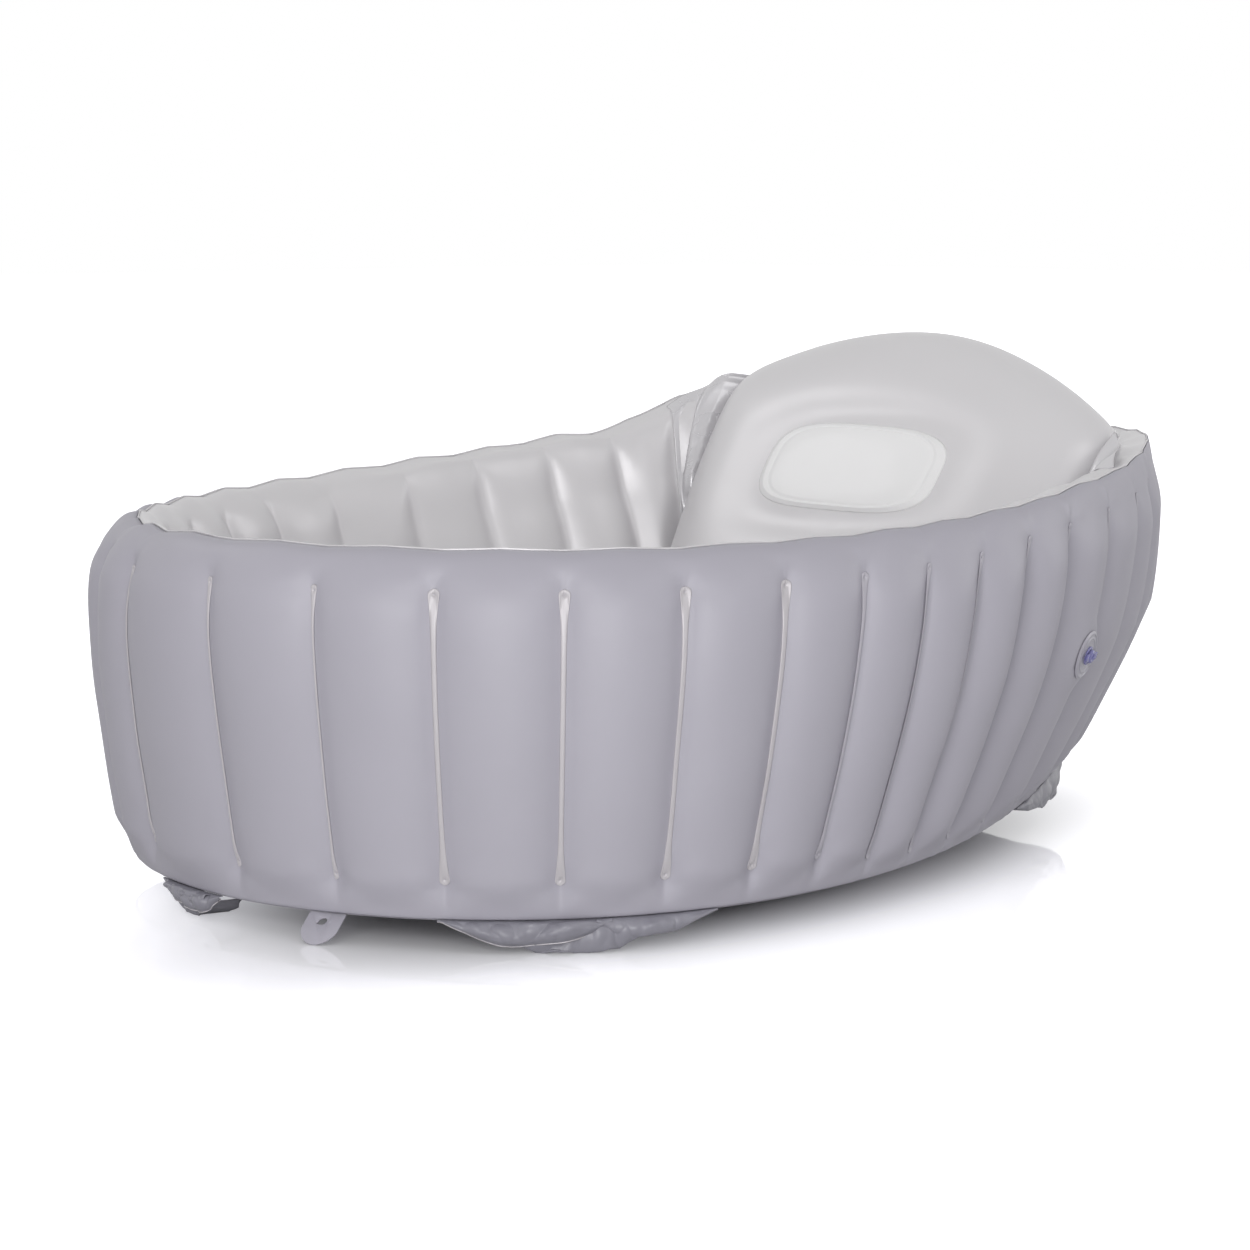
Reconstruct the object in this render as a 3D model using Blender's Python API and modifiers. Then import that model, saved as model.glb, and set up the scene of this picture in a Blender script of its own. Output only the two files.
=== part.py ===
"""Inflatable baby bathtub with a ribbed double wall and a large backrest cushion.

Metres, +Z up. X runs from the foot end (-X) to the head end (+X), Y across, and the floor is z = 0.
The plan outlines of the crest seam and of the base seam are superellipses with a taper along X.
"""

import bisect
import math

import bpy
from mathutils import Matrix, Vector

# Backrest cushion, on a seam that leans back from the floor cushion
BACKREST_BOTTOM_X = 0.053
BACKREST_TOP_X = 0.266
BACKREST_TOP_HEIGHT = 0.381
BACKREST_SEAT_LIFT = 0.0007
BACKREST_HALF_WIDTH = 0.195
BACKREST_SIDE_ROOM = 0.122
BACKREST_STAND = 0.072

# Crest seam, where the outer and the inner wall skins are welded together at the top
CREST_FOOT_REACH = 0.4635
CREST_HEAD_REACH = 0.4295
CREST_WIDTH = 2 * (BACKREST_HALF_WIDTH + BACKREST_SIDE_ROOM)
CREST_TAPER_SHARE = -0.208
CREST_FULL_SHARE = 0.051
CREST_NARROW_SHARE = 0.16
CREST_FOOT_HEIGHT = 0.2635
CREST_MIDDLE_HEIGHT = 0.2795
CREST_SHOULDER_HEIGHT = BACKREST_TOP_HEIGHT - BACKREST_STAND
CREST_HEAD_DROP = 0.041
CREST_TWIST = 0.011
TWIST_START_SHARE = 0.15
TWIST_RUN_SHARE = 0.40
SHOULDER_SHARE = 0.55
HEAD_DROP_SHARE = 0.45
HEAD_NARROW_SHARE = 0.30

# Base seam, where the wall skins, the floor skin and the base sheet meet
BASE_REACH = 0.424
BASE_SIDE_INSET = 0.0415
BASE_WIDTH = CREST_WIDTH - 2 * BASE_SIDE_INSET
BASE_TAPER_SHARE = -0.47
BASE_SHIFT = -0.035
BASE_FOOT_HEIGHT = 0.0187
BASE_HEAD_HEIGHT = 0.0507

CREST_POWER_SHARE = 1.85
BASE_POWER_SHARE = 1.9

# Inflated wall
INNER_SWELL = 0.018
INNER_POWER_SHARE = 2.6
# The outer skin swells most near the crest at the foot end, and evenly at the head end
OUTER_SWELL = 0.027
OUTER_SWELL_RISE = 0.005
OUTER_POWER_SHARE = 1.745
OUTER_POWER_FALL_SHARE = 0.785
OUTER_LEAST_POWER_SHARE = 1.2
OUTER_LEAN_SHARE = 0.383
OUTER_LEAN_FALL_SHARE = 0.294
LOBE_HEIGHT = 0.006
FILM = 0.0004
WEB_FILM = 0.0006
GAP = 0.0003
SEAM_HALF = FILM + GAP / 2
ROW_SHARES = (0.0, 0.03, 0.10, 0.30, 0.50, 0.70, 0.90, 0.97, 1.0)
LOBE_SHARES = (0.0, 0.25, 0.75, 1.0, 1.0, 1.0, 0.75, 0.25, 0.0)
WEB_ROW_SHARES = ROW_SHARES[2:-2]
# Places of the ribs on each side, as shares of the way round from the foot end to the head end
NEAR_RIB_SHARES = (
    0.0134, 0.0815, 0.1476, 0.2143, 0.2769, 0.3332, 0.3825, 0.4273, 0.4705,
    0.5160, 0.5639, 0.6245, 0.688, 0.746, 0.804, 0.862, 0.918, 0.974,
)
FAR_RIB_SHARES = (
    0.0606, 0.110, 0.158, 0.207, 0.257, 0.3076, 0.3622, 0.4214, 0.4872,
    0.5449, 0.5998, 0.6513, 0.705, 0.760, 0.815, 0.870, 0.925, 0.978,
)

# Floor cushion
FLOOR_HEIGHT = 0.060
SHEET_INSET = 0.0012
FLOOR_RING_SHARES = (1.0, 0.93, 0.82, 0.45)
FLOOR_RISE_SHARES = (0.0, 0.22, 0.92, 1.0)
BASE_RING_SHARES = (1.0, 0.90, 0.78, 0.62, 0.30)
BASE_DROP_SHARES = (0.0, 0.22, 0.55, 1.0, 1.0)

# Backrest cushion's swell and outline
BACKREST_FRONT_DEPTH = 0.036
BACKREST_BACK_DEPTH = 0.118
BACKREST_TWIST = CREST_TWIST
BACKREST_BACK_FALL_SHARE = 0.35
BACKREST_CENTRE_SHARE = 0.45
# Half of the seam's outline, from the bottom to the top: across and along, as shares
BACKREST_OUTLINE_SHARES = (
    (0.0, 0.0), (0.48, 0.0), (0.73, 0.03), (0.84, 0.12), (0.90, 0.34), (0.955, 0.56), (1.0, 0.75),
    (1.0, 0.835), (0.90, 0.872), (0.65, 0.925), (0.33, 0.978), (0.0, 1.0),
)
BACKREST_RING_SHARES = (1.0, 0.93, 0.80, 0.55, 0.25)
FRONT_HEIGHT_SHARES = (0.0, 0.44, 0.72, 0.94, 1.0)
BACK_HEIGHT_SHARES = (0.0, 0.37, 0.60, 0.83, 0.97)

# Bare oval panel welded on the backrest's front
PANEL_WIDTH = 0.172
PANEL_HEIGHT = 0.070
PANEL_THICKNESS = 0.0006
PANEL_LIFT = 0.0009
PANEL_PLACE_SHARE = 0.625
PANEL_POWER_SHARE = 3.2
PANEL_RING_SHARES = (1.0, 0.72, 0.36)
PANEL_COLUMNS = 28

# Slack film between the backrest's sides and the wall
GUSSET_FILM = 0.0005
GUSSET_FOLD = 0.007
GUSSET_LOW_SHARE = 0.34
GUSSET_TOP_SHARE = 0.80
GUSSET_CREST_RISE = 0.011
GUSSET_WALL_LOW_SHARE = 0.45
GUSSET_WALL_TOP_SHARE = 0.985
GUSSET_CLEARANCE = 0.0011
GUSSET_TOP_CLEARANCE = 0.0024
GUSSET_WALL_CLEARANCE = 0.0015
GUSSET_RIB = 12
GUSSET_COLUMNS = 7
GUSSET_ROWS = 6

# Loose skirt folds under the wall
SKIRT_FILM = 0.0007
SKIRT_STEPS = 8
SIDE_FOLD_SHARES = (0.130, 0.298)
SIDE_FOLD_BULGE = 0.006
SIDE_FOLD_DEPTH = 0.028
SIDE_FOLD_FALL_SHARE = 1.0
FOOT_FOLD_SHARES = (-0.072, -0.008)
FOOT_FOLD_BULGE = 0.008
FOOT_FOLD_DEPTH = 0.024
FOOT_FOLD_FALL_SHARE = 1.0
HEAD_FOLD_SHARES = (0.650, 0.830)
HEAD_FOLD_BULGE = 0.007
HEAD_FOLD_DEPTH = 0.013
HEAD_FOLD_FALL_SHARE = 0.50
SKIRT_HANG = 0.0008
SKIRT_FLOOR = 0.0004

# Hanging tab with its punched hole
TAB_PLACE_SHARE = 0.0735
TAB_WIDTH = 0.028
TAB_LENGTH = 0.027
TAB_THICKNESS = 0.0008
TAB_HOLE = 0.0065
TAB_HOLE_DROP = 0.0085
TAB_HANG = 0.0005
TAB_FLOOR = 0.0006

# Air valve in the wall: welded body, sliding stem, plug and one-way flap
VALVE_PLACE_SHARE = 0.599
VALVE_HEIGHT_SHARE = 0.515
VALVE_FLANGE = 0.036
VALVE_FLANGE_THICKNESS = 0.0012
VALVE_TUBE = 0.0150
VALVE_TUBE_LENGTH = 0.016
VALVE_BORE = 0.0112
VALVE_LIFT = 0.0022
STEM_WALL = 0.0022
STEM_CLEARANCE = 0.0001
STEM_LENGTH = 0.017
STEM_COLLAR = 0.0140
STEM_COLLAR_THICKNESS = 0.0012
PLUG_CLEARANCE = 0.0001
PLUG_LENGTH = 0.009
PLUG_HEAD = 0.0100
PLUG_HEAD_THICKNESS = 0.0018
PLUG_WING_REACH = 0.0105
PLUG_WING_WIDTH = 0.0070
PLUG_WING_THICKNESS = 0.0011
FLAP_OVERLAP = 0.0008
FLAP_THICKNESS = 0.0005
SKIN_HOLE_CLEARANCE = 0.0006

# Air valves of the backrest and of the floor cushion
SMALL_FLANGE = 0.030
SMALL_TUBE = 0.0110
SMALL_TUBE_LENGTH = 0.012
SMALL_BORE = 0.0072
BACKREST_VALVE_PLACE_SHARE = 0.88
FLOOR_VALVE_X = -0.050
FLOOR_VALVE_Y = 0.120

# Drain through the floor cushion, at the foot end
DRAIN_X = -0.330
DRAIN_FLANGE = 0.044
DRAIN_TUBE = 0.024
DRAIN_BORE = 0.0190
DRAIN_LIP = 0.0012
DRAIN_PLUG_HEAD = 0.0270
DRAIN_PLUG_HEAD_THICKNESS = 0.0025
DRAIN_PLUG_LENGTH = 0.014
DRAIN_KNOB = 0.0090
DRAIN_KNOB_HEIGHT = 0.0070
DRAIN_FOOT_RISE = 0.0010

ROUND_STEPS = 24
CUT_OVERRUN = 0.004
MEASURE_STEPS = 360
TINY_TURN_SHARE = 0.002

# Colours of the materials, linear red, green and blue
GREY = (0.385, 0.372, 0.440)
PEARL = (0.720, 0.705, 0.735)
PANEL_WHITE = (0.800, 0.800, 0.800)
CLEAR_GREY = (0.480, 0.470, 0.520)
VIOLET = (0.260, 0.255, 0.560)


def clear_scene():
    for thing in list(bpy.data.objects):
        bpy.data.objects.remove(thing, do_unlink=True)


def make_collection(name):
    collection = bpy.data.collections.new(name)
    bpy.context.scene.collection.children.link(collection)
    return collection


def make_material(name, colour, roughness):
    material = bpy.data.materials.new(name)
    material.use_nodes = True
    shader = material.node_tree.nodes["Principled BSDF"]
    shader.inputs["Base Color"].default_value = (*colour, 1)
    shader.inputs["Roughness"].default_value = roughness
    return material


clear_scene()
PARTS = make_collection("inflatable_bathtub")
CUTTERS = make_collection("cutters")


def add_object(name, mesh, material, collection=PARTS):
    thing = bpy.data.objects.new(name, mesh)
    if material:
        mesh.materials.append(material)
    collection.objects.link(thing)
    return thing


def add_sheet(name, rows, material, thickness, closed=False, hub=None, offset=-1):
    """Skins a grid of points, row by row, and thickens it. hub closes the last row with a fan."""
    width = len(rows[0])
    points = [point for row in rows for point in row]
    spans = width if closed else width - 1
    faces = []
    for i in range(len(rows) - 1):
        for j in range(spans):
            k = (j + 1) % width
            faces.append((i * width + j, i * width + k, (i + 1) * width + k, (i + 1) * width + j))
    if hub is not None:
        points.append(hub)
        last = (len(rows) - 1) * width
        faces += [(last + j, last + (j + 1) % width, len(points) - 1) for j in range(width)]
    mesh = bpy.data.meshes.new(name)
    mesh.from_pydata(points, [], faces)
    mesh.shade_smooth()
    thing = add_object(name, mesh, material)
    thing.modifiers.new("triangles", "TRIANGULATE")
    shell = thing.modifiers.new("film", "SOLIDIFY")
    shell.thickness = thickness
    shell.offset = offset
    return thing


# Outlines of the seams
def plan_shares(turn, power):
    """A superellipse with its half axes as 1."""
    across, along = math.sin(turn), math.cos(turn)
    u = math.copysign(abs(along) ** (2 / power), along)
    side = math.copysign(abs(across) ** (2 / power), across)
    return u, side


def crest_height(u):
    """A parabola through the named heights of the crest seam, which drops again towards the head end."""
    foot = CREST_FOOT_HEIGHT - CREST_MIDDLE_HEIGHT
    shoulder = CREST_SHOULDER_HEIGHT - CREST_MIDDLE_HEIGHT
    curve = (shoulder / SHOULDER_SHARE + foot) / (SHOULDER_SHARE + 1)
    slope = curve - foot
    drop = CREST_HEAD_DROP * (max(u - HEAD_DROP_SHARE, 0) / (1 - HEAD_DROP_SHARE)) ** 2
    return CREST_MIDDLE_HEIGHT + slope * u + curve * u * u - drop


def crest(turn):
    u, side = plan_shares(turn, CREST_POWER_SHARE)
    spread = 1 + CREST_TAPER_SHARE * u + CREST_FULL_SHARE * u * u
    spread -= CREST_NARROW_SHARE * max(u - HEAD_NARROW_SHARE, 0) ** 2
    reach = CREST_HEAD_REACH if u > 0 else CREST_FOOT_REACH
    twist = CREST_TWIST * side * min(max(u - TWIST_START_SHARE, 0) / TWIST_RUN_SHARE, 1)
    return Vector((reach * u, CREST_WIDTH / 2 * side * spread, crest_height(u) + twist))


def base(turn):
    u, side = plan_shares(turn, BASE_POWER_SHARE)
    height = BASE_FOOT_HEIGHT + (BASE_HEAD_HEIGHT - BASE_FOOT_HEIGHT) * (u + 1) / 2
    return Vector((BASE_REACH * u + BASE_SHIFT, BASE_WIDTH / 2 * side * (1 + BASE_TAPER_SHARE * u), height))


def outward(turn):
    step = crest(turn + TINY_TURN_SHARE) - crest(turn - TINY_TURN_SHARE)
    return Vector((step.y, -step.x, 0)).normalized()


def measure_half_girth():
    """Turns from the foot end to the head end, with the share of the crest's plan length at each."""
    turns = [math.pi * (1 + i / MEASURE_STEPS) for i in range(MEASURE_STEPS + 1)]
    lengths = [0]
    for a, b in zip(turns, turns[1:]):
        lengths.append(lengths[-1] + (crest(b).xy - crest(a).xy).length)
    return turns, [length / lengths[-1] for length in lengths]


TURNS, GIRTH_SHARES = measure_half_girth()


def turn_at(share, side=1):
    """The turn at a share of the way from foot to head, on the -Y side, or on the +Y side for side -1."""
    if share < 0:
        return turn_at(-share, -side)
    i = min(max(bisect.bisect(GIRTH_SHARES, share), 1), len(TURNS) - 1)
    low, high = GIRTH_SHARES[i - 1], GIRTH_SHARES[i]
    turn = TURNS[i - 1] + (TURNS[i] - TURNS[i - 1]) * (share - low) / (high - low)
    return turn if side > 0 else 2 * math.pi - turn


def column_turns():
    """(turn, lobe) of each column of the wall: a crease at each rib and a lobe crest between ribs."""
    ribs = sorted([-share for share in FAR_RIB_SHARES] + list(NEAR_RIB_SHARES))
    columns = []
    for rib, following in zip(ribs, ribs[1:] + [ribs[0] + 2]):
        columns.append((turn_at(rib), 0))
        middle = (rib + following) / 2
        columns.append((turn_at(middle if middle <= 1 else middle - 2), 1))
    return columns


COLUMNS = column_turns()


# Wall
def pill(share, power):
    return max(1 - abs(2 * share - 1) ** power, 0) ** (1 / power)


def wall_swell(turn, share, side):
    """How far a skin stands out from the straight line between the base seam and the crest seam."""
    if side < 0:
        return INNER_SWELL * pill(share, INNER_POWER_SHARE)
    u, _ = plan_shares(turn, CREST_POWER_SHARE)
    power = max(OUTER_POWER_SHARE - OUTER_POWER_FALL_SHARE * u, OUTER_LEAST_POWER_SHARE)
    lean = 1 + (OUTER_LEAN_SHARE - OUTER_LEAN_FALL_SHARE * u) * (2 * share - 1)
    return (OUTER_SWELL + OUTER_SWELL_RISE * u) * pill(share, power) * lean


def lobe_share_at(share):
    for i in range(len(ROW_SHARES) - 1):
        low, high = ROW_SHARES[i], ROW_SHARES[i + 1]
        if low <= share <= high:
            blend = (share - low) / (high - low)
            return LOBE_SHARES[i] + (LOBE_SHARES[i + 1] - LOBE_SHARES[i]) * blend
    return 0


def wall_point(turn, share, side, lobe):
    """A point of the outer skin (side 1) or the inner skin (side -1) at a share of the height."""
    swell = wall_swell(turn, share, side) + LOBE_HEIGHT * lobe * lobe_share_at(share)
    return base(turn).lerp(crest(turn), share) + outward(turn) * side * (swell + SEAM_HALF)


def build_wall_skin(name, side, material):
    rows = [[wall_point(turn, share, side, lobe) for turn, lobe in COLUMNS] for share in ROW_SHARES]
    if side < 0:
        rows.reverse()
    return add_sheet(name, rows, material, FILM, closed=True)


def build_web(name, turn, material):
    """A strip that ties the outer crease to the inner crease of one rib."""
    inset = FILM + 2 * GAP
    rows = []
    for share in WEB_ROW_SHARES:
        outer = wall_point(turn, share, 1, 0) - outward(turn) * inset
        inner = wall_point(turn, share, -1, 0) + outward(turn) * inset
        rows.append([outer, inner])
    return add_sheet(name, rows, material, WEB_FILM, offset=0)


def build_webs(material):
    for side, word, shares in ((1, "near", NEAR_RIB_SHARES), (-1, "far", FAR_RIB_SHARES)):
        for i, share in enumerate(shares):
            build_web(f"wall_web_{word}_{i + 1:02d}", turn_at(share, side), material)


# Floor cushion and base sheet
def base_ring(ring_share):
    """The base seam drawn in towards the middle, at its own heights."""
    middle = Vector((BASE_SHIFT, 0, 0))
    ring = []
    for turn, _ in COLUMNS:
        rim = base(turn)
        flat = Vector((rim.x, rim.y, 0)) - middle
        flat -= flat.normalized() * (SHEET_INSET + SEAM_HALF)
        ring.append((middle + flat * ring_share, rim.z))
    return ring


def build_floor_skin(material):
    rows = []
    for ring_share, rise in zip(FLOOR_RING_SHARES, FLOOR_RISE_SHARES):
        row = [Vector((p.x, p.y, rim + (FLOOR_HEIGHT - rim) * rise)) for p, rim in base_ring(ring_share)]
        rows.append(row)
    hub = Vector((BASE_SHIFT, 0, FLOOR_HEIGHT))
    return add_sheet("floor_cushion_skin", rows, material, FILM, closed=True, hub=hub)


def build_base_sheet(material):
    drop = 2 * FILM + GAP
    rows = []
    for ring_share, fall in zip(BASE_RING_SHARES, BASE_DROP_SHARES):
        row = [Vector((p.x, p.y, (rim - drop) * (1 - fall))) for p, rim in base_ring(ring_share)]
        row.reverse()
        rows.append(row)
    hub = Vector((BASE_SHIFT, 0, 0))
    return add_sheet("base_sheet", rows, material, FILM, closed=True, hub=hub)


# Backrest cushion
BACKREST_FOOT = Vector((BACKREST_BOTTOM_X, 0, FLOOR_HEIGHT + BACKREST_SEAT_LIFT))
BACKREST_TOP = Vector((BACKREST_TOP_X, 0, BACKREST_TOP_HEIGHT))
BACKREST_ALONG = (BACKREST_TOP - BACKREST_FOOT).normalized()
BACKREST_FRONT = Vector((-BACKREST_ALONG.z, 0, BACKREST_ALONG.x))
BACKREST_LENGTH = (BACKREST_TOP - BACKREST_FOOT).length


def backrest_outline():
    """The seam's outline in its own plane: (across, along) from the bottom middle, all the way round."""
    half = [(across * BACKREST_HALF_WIDTH, along * BACKREST_LENGTH) for across, along in BACKREST_OUTLINE_SHARES]
    return half + [(-across, along) for across, along in reversed(half[1:-1])]


OUTLINE = backrest_outline()
BACKREST_MIDDLE = (0, BACKREST_CENTRE_SHARE * BACKREST_LENGTH)


def backrest_point(across, along, forward):
    twist = BACKREST_TWIST * across / BACKREST_HALF_WIDTH * along / BACKREST_LENGTH
    return BACKREST_FOOT + BACKREST_ALONG * along + Vector((0, across, twist)) + BACKREST_FRONT * forward


def ring_of_outline(share):
    return [(across * share, BACKREST_MIDDLE[1] + (along - BACKREST_MIDDLE[1]) * share) for across, along in OUTLINE]


def share_in_outline(across, along):
    """How far out a point lies: 0 in the middle and 1 on the seam."""
    x, y = across, along - BACKREST_MIDDLE[1]
    for i, (ax, ay) in enumerate(OUTLINE):
        bx, by = OUTLINE[(i + 1) % len(OUTLINE)]
        ay, by = ay - BACKREST_MIDDLE[1], by - BACKREST_MIDDLE[1]
        turn = ax * by - ay * bx
        first = (x * by - y * bx) / turn
        second = (ax * y - ay * x) / turn
        if first >= 0 and second >= 0:
            return first + second
    return 0


def front_height(across, along):
    """Height of the front skin over the seam's plane."""
    share = share_in_outline(across, along)
    rings = (*BACKREST_RING_SHARES, 0)
    heights = (*FRONT_HEIGHT_SHARES, 1)
    for i in range(len(rings) - 1):
        if rings[i + 1] <= share <= rings[i]:
            blend = (rings[i] - share) / (rings[i] - rings[i + 1])
            return BACKREST_FRONT_DEPTH * (heights[i] + (heights[i + 1] - heights[i]) * blend) + SEAM_HALF
    return SEAM_HALF


def build_backrest_front(material):
    rows = []
    for ring, height in zip(BACKREST_RING_SHARES, FRONT_HEIGHT_SHARES):
        forward = BACKREST_FRONT_DEPTH * height + SEAM_HALF
        row = [backrest_point(across, along, forward) for across, along in ring_of_outline(ring)]
        row.reverse()
        rows.append(row)
    hub = backrest_point(*BACKREST_MIDDLE, BACKREST_FRONT_DEPTH + SEAM_HALF)
    return add_sheet("backrest_front_skin", rows, material, FILM, closed=True, hub=hub)


def back_point(across, along, height):
    """The back skin's swell is level at the bottom and falls more and more towards the top."""
    back = Vector((1, 0, -BACKREST_BACK_FALL_SHARE * along / BACKREST_LENGTH))
    return backrest_point(across, along, -SEAM_HALF) + back * BACKREST_BACK_DEPTH * height


def build_backrest_back(material):
    """The back skin fills the wedge between the backrest and the wall's head end."""
    rows = []
    for ring, height in zip(BACKREST_RING_SHARES, BACK_HEIGHT_SHARES):
        rows.append([back_point(across, along, height) for across, along in ring_of_outline(ring)])
    hub = back_point(*BACKREST_MIDDLE, 1)
    return add_sheet("backrest_back_skin", rows, material, FILM, closed=True, hub=hub)


def build_panel(material):
    """The bare oval panel follows the swell of the front skin."""
    middle = PANEL_PLACE_SHARE * BACKREST_LENGTH
    lift = PANEL_LIFT + PANEL_THICKNESS
    rows = []
    for ring in PANEL_RING_SHARES:
        row = []
        for i in range(PANEL_COLUMNS):
            turn = 2 * math.pi * i / PANEL_COLUMNS
            x = math.copysign(abs(math.cos(turn)) ** (2 / PANEL_POWER_SHARE), math.cos(turn))
            y = math.copysign(abs(math.sin(turn)) ** (2 / PANEL_POWER_SHARE), math.sin(turn))
            across, along = x * ring * PANEL_WIDTH / 2, middle + y * ring * PANEL_HEIGHT / 2
            row.append(backrest_point(across, along, front_height(across, along) + lift))
        row.reverse()
        rows.append(row)
    hub = backrest_point(0, middle, front_height(0, middle) + lift)
    return add_sheet("backrest_panel", rows, material, PANEL_THICKNESS, closed=True, hub=hub)


# Gussets
def outline_at(along):
    """Half width of the backrest's seam at a distance along it."""
    points = [(a * BACKREST_LENGTH, w * BACKREST_HALF_WIDTH) for w, a in BACKREST_OUTLINE_SHARES]
    for (a0, w0), (a1, w1) in zip(points, points[1:]):
        if a0 <= along <= a1 and a1 > a0:
            return w0 + (w1 - w0) * (along - a0) / (a1 - a0)
    return 0


def build_gusset(name, side, material):
    """Slack film with shallow folds from the backrest's side seam to the wall."""
    ribs = NEAR_RIB_SHARES if side > 0 else FAR_RIB_SHARES
    turn = turn_at(ribs[GUSSET_RIB], side)
    rows = []
    for i in range(GUSSET_ROWS):
        rise = i / (GUSSET_ROWS - 1)
        along = BACKREST_LENGTH * (GUSSET_LOW_SHARE + (GUSSET_TOP_SHARE - GUSSET_LOW_SHARE) * rise)
        across = outline_at(along) + GUSSET_CLEARANCE + (GUSSET_TOP_CLEARANCE - GUSSET_CLEARANCE) * rise
        start = backrest_point(-side * across, along, 0)
        share = GUSSET_WALL_LOW_SHARE + (GUSSET_WALL_TOP_SHARE - GUSSET_WALL_LOW_SHARE) * rise
        end = wall_point(turn, share, -1, 0) - outward(turn) * GUSSET_WALL_CLEARANCE
        row = []
        for j in range(GUSSET_COLUMNS):
            run = j / (GUSSET_COLUMNS - 1)
            fold = math.sin(2 * math.pi * (1.5 * run + 0.35 * rise)) * math.sin(math.pi * run)
            lift = Vector((0, 0, GUSSET_CREST_RISE * rise ** 3 * math.sin(math.pi * run)))
            row.append(start.lerp(end, run) + BACKREST_FRONT * GUSSET_FOLD * fold + lift)
        rows.append(row)
    return add_sheet(name, rows, material, GUSSET_FILM, offset=0)


# Skirt
def build_skirt_fold(name, shares, bulge, depth, fall_share, material):
    """A loose fold of film that hangs from the base seam and turns in under the wall."""
    rows = []
    for i in range(SKIRT_STEPS + 1):
        run = i / SKIRT_STEPS
        turn = turn_at(shares[0] + (shares[1] - shares[0]) * run)
        rim, out = base(turn), outward(turn)
        full = 0.35 + 0.65 * math.sin(math.pi * run)
        ripple = 1 + 0.35 * math.cos(2 * math.pi * 2.5 * run)
        hang = rim.z - SKIRT_HANG
        low = SKIRT_FLOOR + (hang - SKIRT_FLOOR) * (1 - fall_share * full)
        path = (
            (FILM, hang),
            (bulge * full * ripple, low + (hang - low) * 0.62),
            (bulge * full * 0.6, low + (hang - low) * 0.16),
            (-0.25 * depth, low),
            (-depth * (0.7 + 0.3 * full), low),
        )
        rows.append([Vector((rim.x, rim.y, 0)) + out * d + Vector((0, 0, z)) for d, z in path])
    return add_sheet(name, rows, material, SKIRT_FILM, offset=0)


def mesh_of_curve(name, curve_object, material):
    """Turns a filled flat curve into a mesh object whose caps are welded."""
    bpy.context.view_layer.update()
    graph = bpy.context.evaluated_depsgraph_get()
    mesh = bpy.data.meshes.new_from_object(curve_object.evaluated_get(graph))
    mesh.name = name
    bm_weld(mesh)
    bpy.data.objects.remove(curve_object, do_unlink=True)
    mesh.materials.clear()
    return add_object(name, mesh, material)


def bm_weld(mesh):
    import bmesh

    work = bmesh.new()
    work.from_mesh(mesh)
    bmesh.ops.remove_doubles(work, verts=work.verts, dist=GAP / 10)
    bmesh.ops.recalc_face_normals(work, faces=work.faces)
    work.to_mesh(mesh)
    work.free()


def frame_matrix(origin, across, out):
    """A frame at origin whose X is across and whose Z is out."""
    z = out.normalized()
    x = (across - z * across.dot(z)).normalized()
    y = z.cross(x)
    return Matrix.Translation(origin) @ Matrix((x, y, z)).transposed().to_4x4()


def build_tab(material):
    """A flat strip with a round end and a hole. Its origin is on the weld line that it swings about."""
    radius = TAB_WIDTH / 2
    straight = TAB_LENGTH - radius
    outline = [(-radius, 0), (radius, 0)]
    for i in range(ROUND_STEPS // 2 + 1):
        turn = math.pi * i / (ROUND_STEPS // 2)
        outline.append((radius * math.cos(turn), -straight - radius * math.sin(turn)))
    hole = []
    for i in range(ROUND_STEPS // 2):
        turn = 2 * math.pi * i / (ROUND_STEPS // 2)
        hole.append((TAB_HOLE / 2 * math.cos(turn), -TAB_HOLE_DROP + TAB_HOLE / 2 * math.sin(turn)))
    curve = bpy.data.curves.new("tab_outline", "CURVE")
    curve.dimensions = "2D"
    curve.fill_mode = "BOTH"
    curve.extrude = TAB_THICKNESS / 2
    for points in (outline, hole):
        spline = curve.splines.new("POLY")
        spline.points.add(len(points) - 1)
        for place, (x, y) in zip(spline.points, points):
            place.co = (x, y, 0, 1)
        spline.use_cyclic_u = True
    drawn = add_object("tab_outline", curve, None)
    tab = mesh_of_curve("hanging_tab", drawn, material)
    turn = turn_at(TAB_PLACE_SHARE)
    hinge = base(turn) + Vector((0, 0, -TAB_HANG - FILM))
    lean = math.acos(min((hinge.z - TAB_FLOOR) / TAB_LENGTH, 1))
    out = outward(turn)
    along = Vector((0, 0, 1)).cross(out)
    up = Vector((0, 0, math.cos(lean))) - out * math.sin(lean)
    tab.matrix_world = frame_matrix(hinge, along, along.cross(up))
    return tab


# Turned pieces
def turned(name, profile, material):
    """A closed profile of (radius, height) points turned about Z. It runs down the outer side."""
    mesh = bpy.data.meshes.new(name)
    edges = [(i, (i + 1) % len(profile)) for i in range(len(profile))]
    if profile[0][0] == 0:
        edges.pop()
    mesh.from_pydata([(radius, 0, height) for radius, height in profile], edges, [])
    thing = add_object(name, mesh, material)
    screw = thing.modifiers.new("turn", "SCREW")
    screw.steps = ROUND_STEPS
    screw.render_steps = ROUND_STEPS
    screw.use_merge_vertices = True
    screw.merge_threshold = GAP / 10
    screw.use_smooth_shade = True
    return thing


def cutter_round(name, radius, height, matrix):
    cutter = turned(name, [(0, height), (radius, height), (radius, -height), (0, -height)], None)
    PARTS.objects.unlink(cutter)
    CUTTERS.objects.link(cutter)
    cutter.matrix_world = matrix
    cutter.hide_render = True
    cutter.display_type = "WIRE"
    return cutter


def cut(thing, cutter):
    boolean = thing.modifiers.new("hole", "BOOLEAN")
    boolean.operation = "DIFFERENCE"
    boolean.solver = "EXACT"
    boolean.object = cutter


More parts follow.
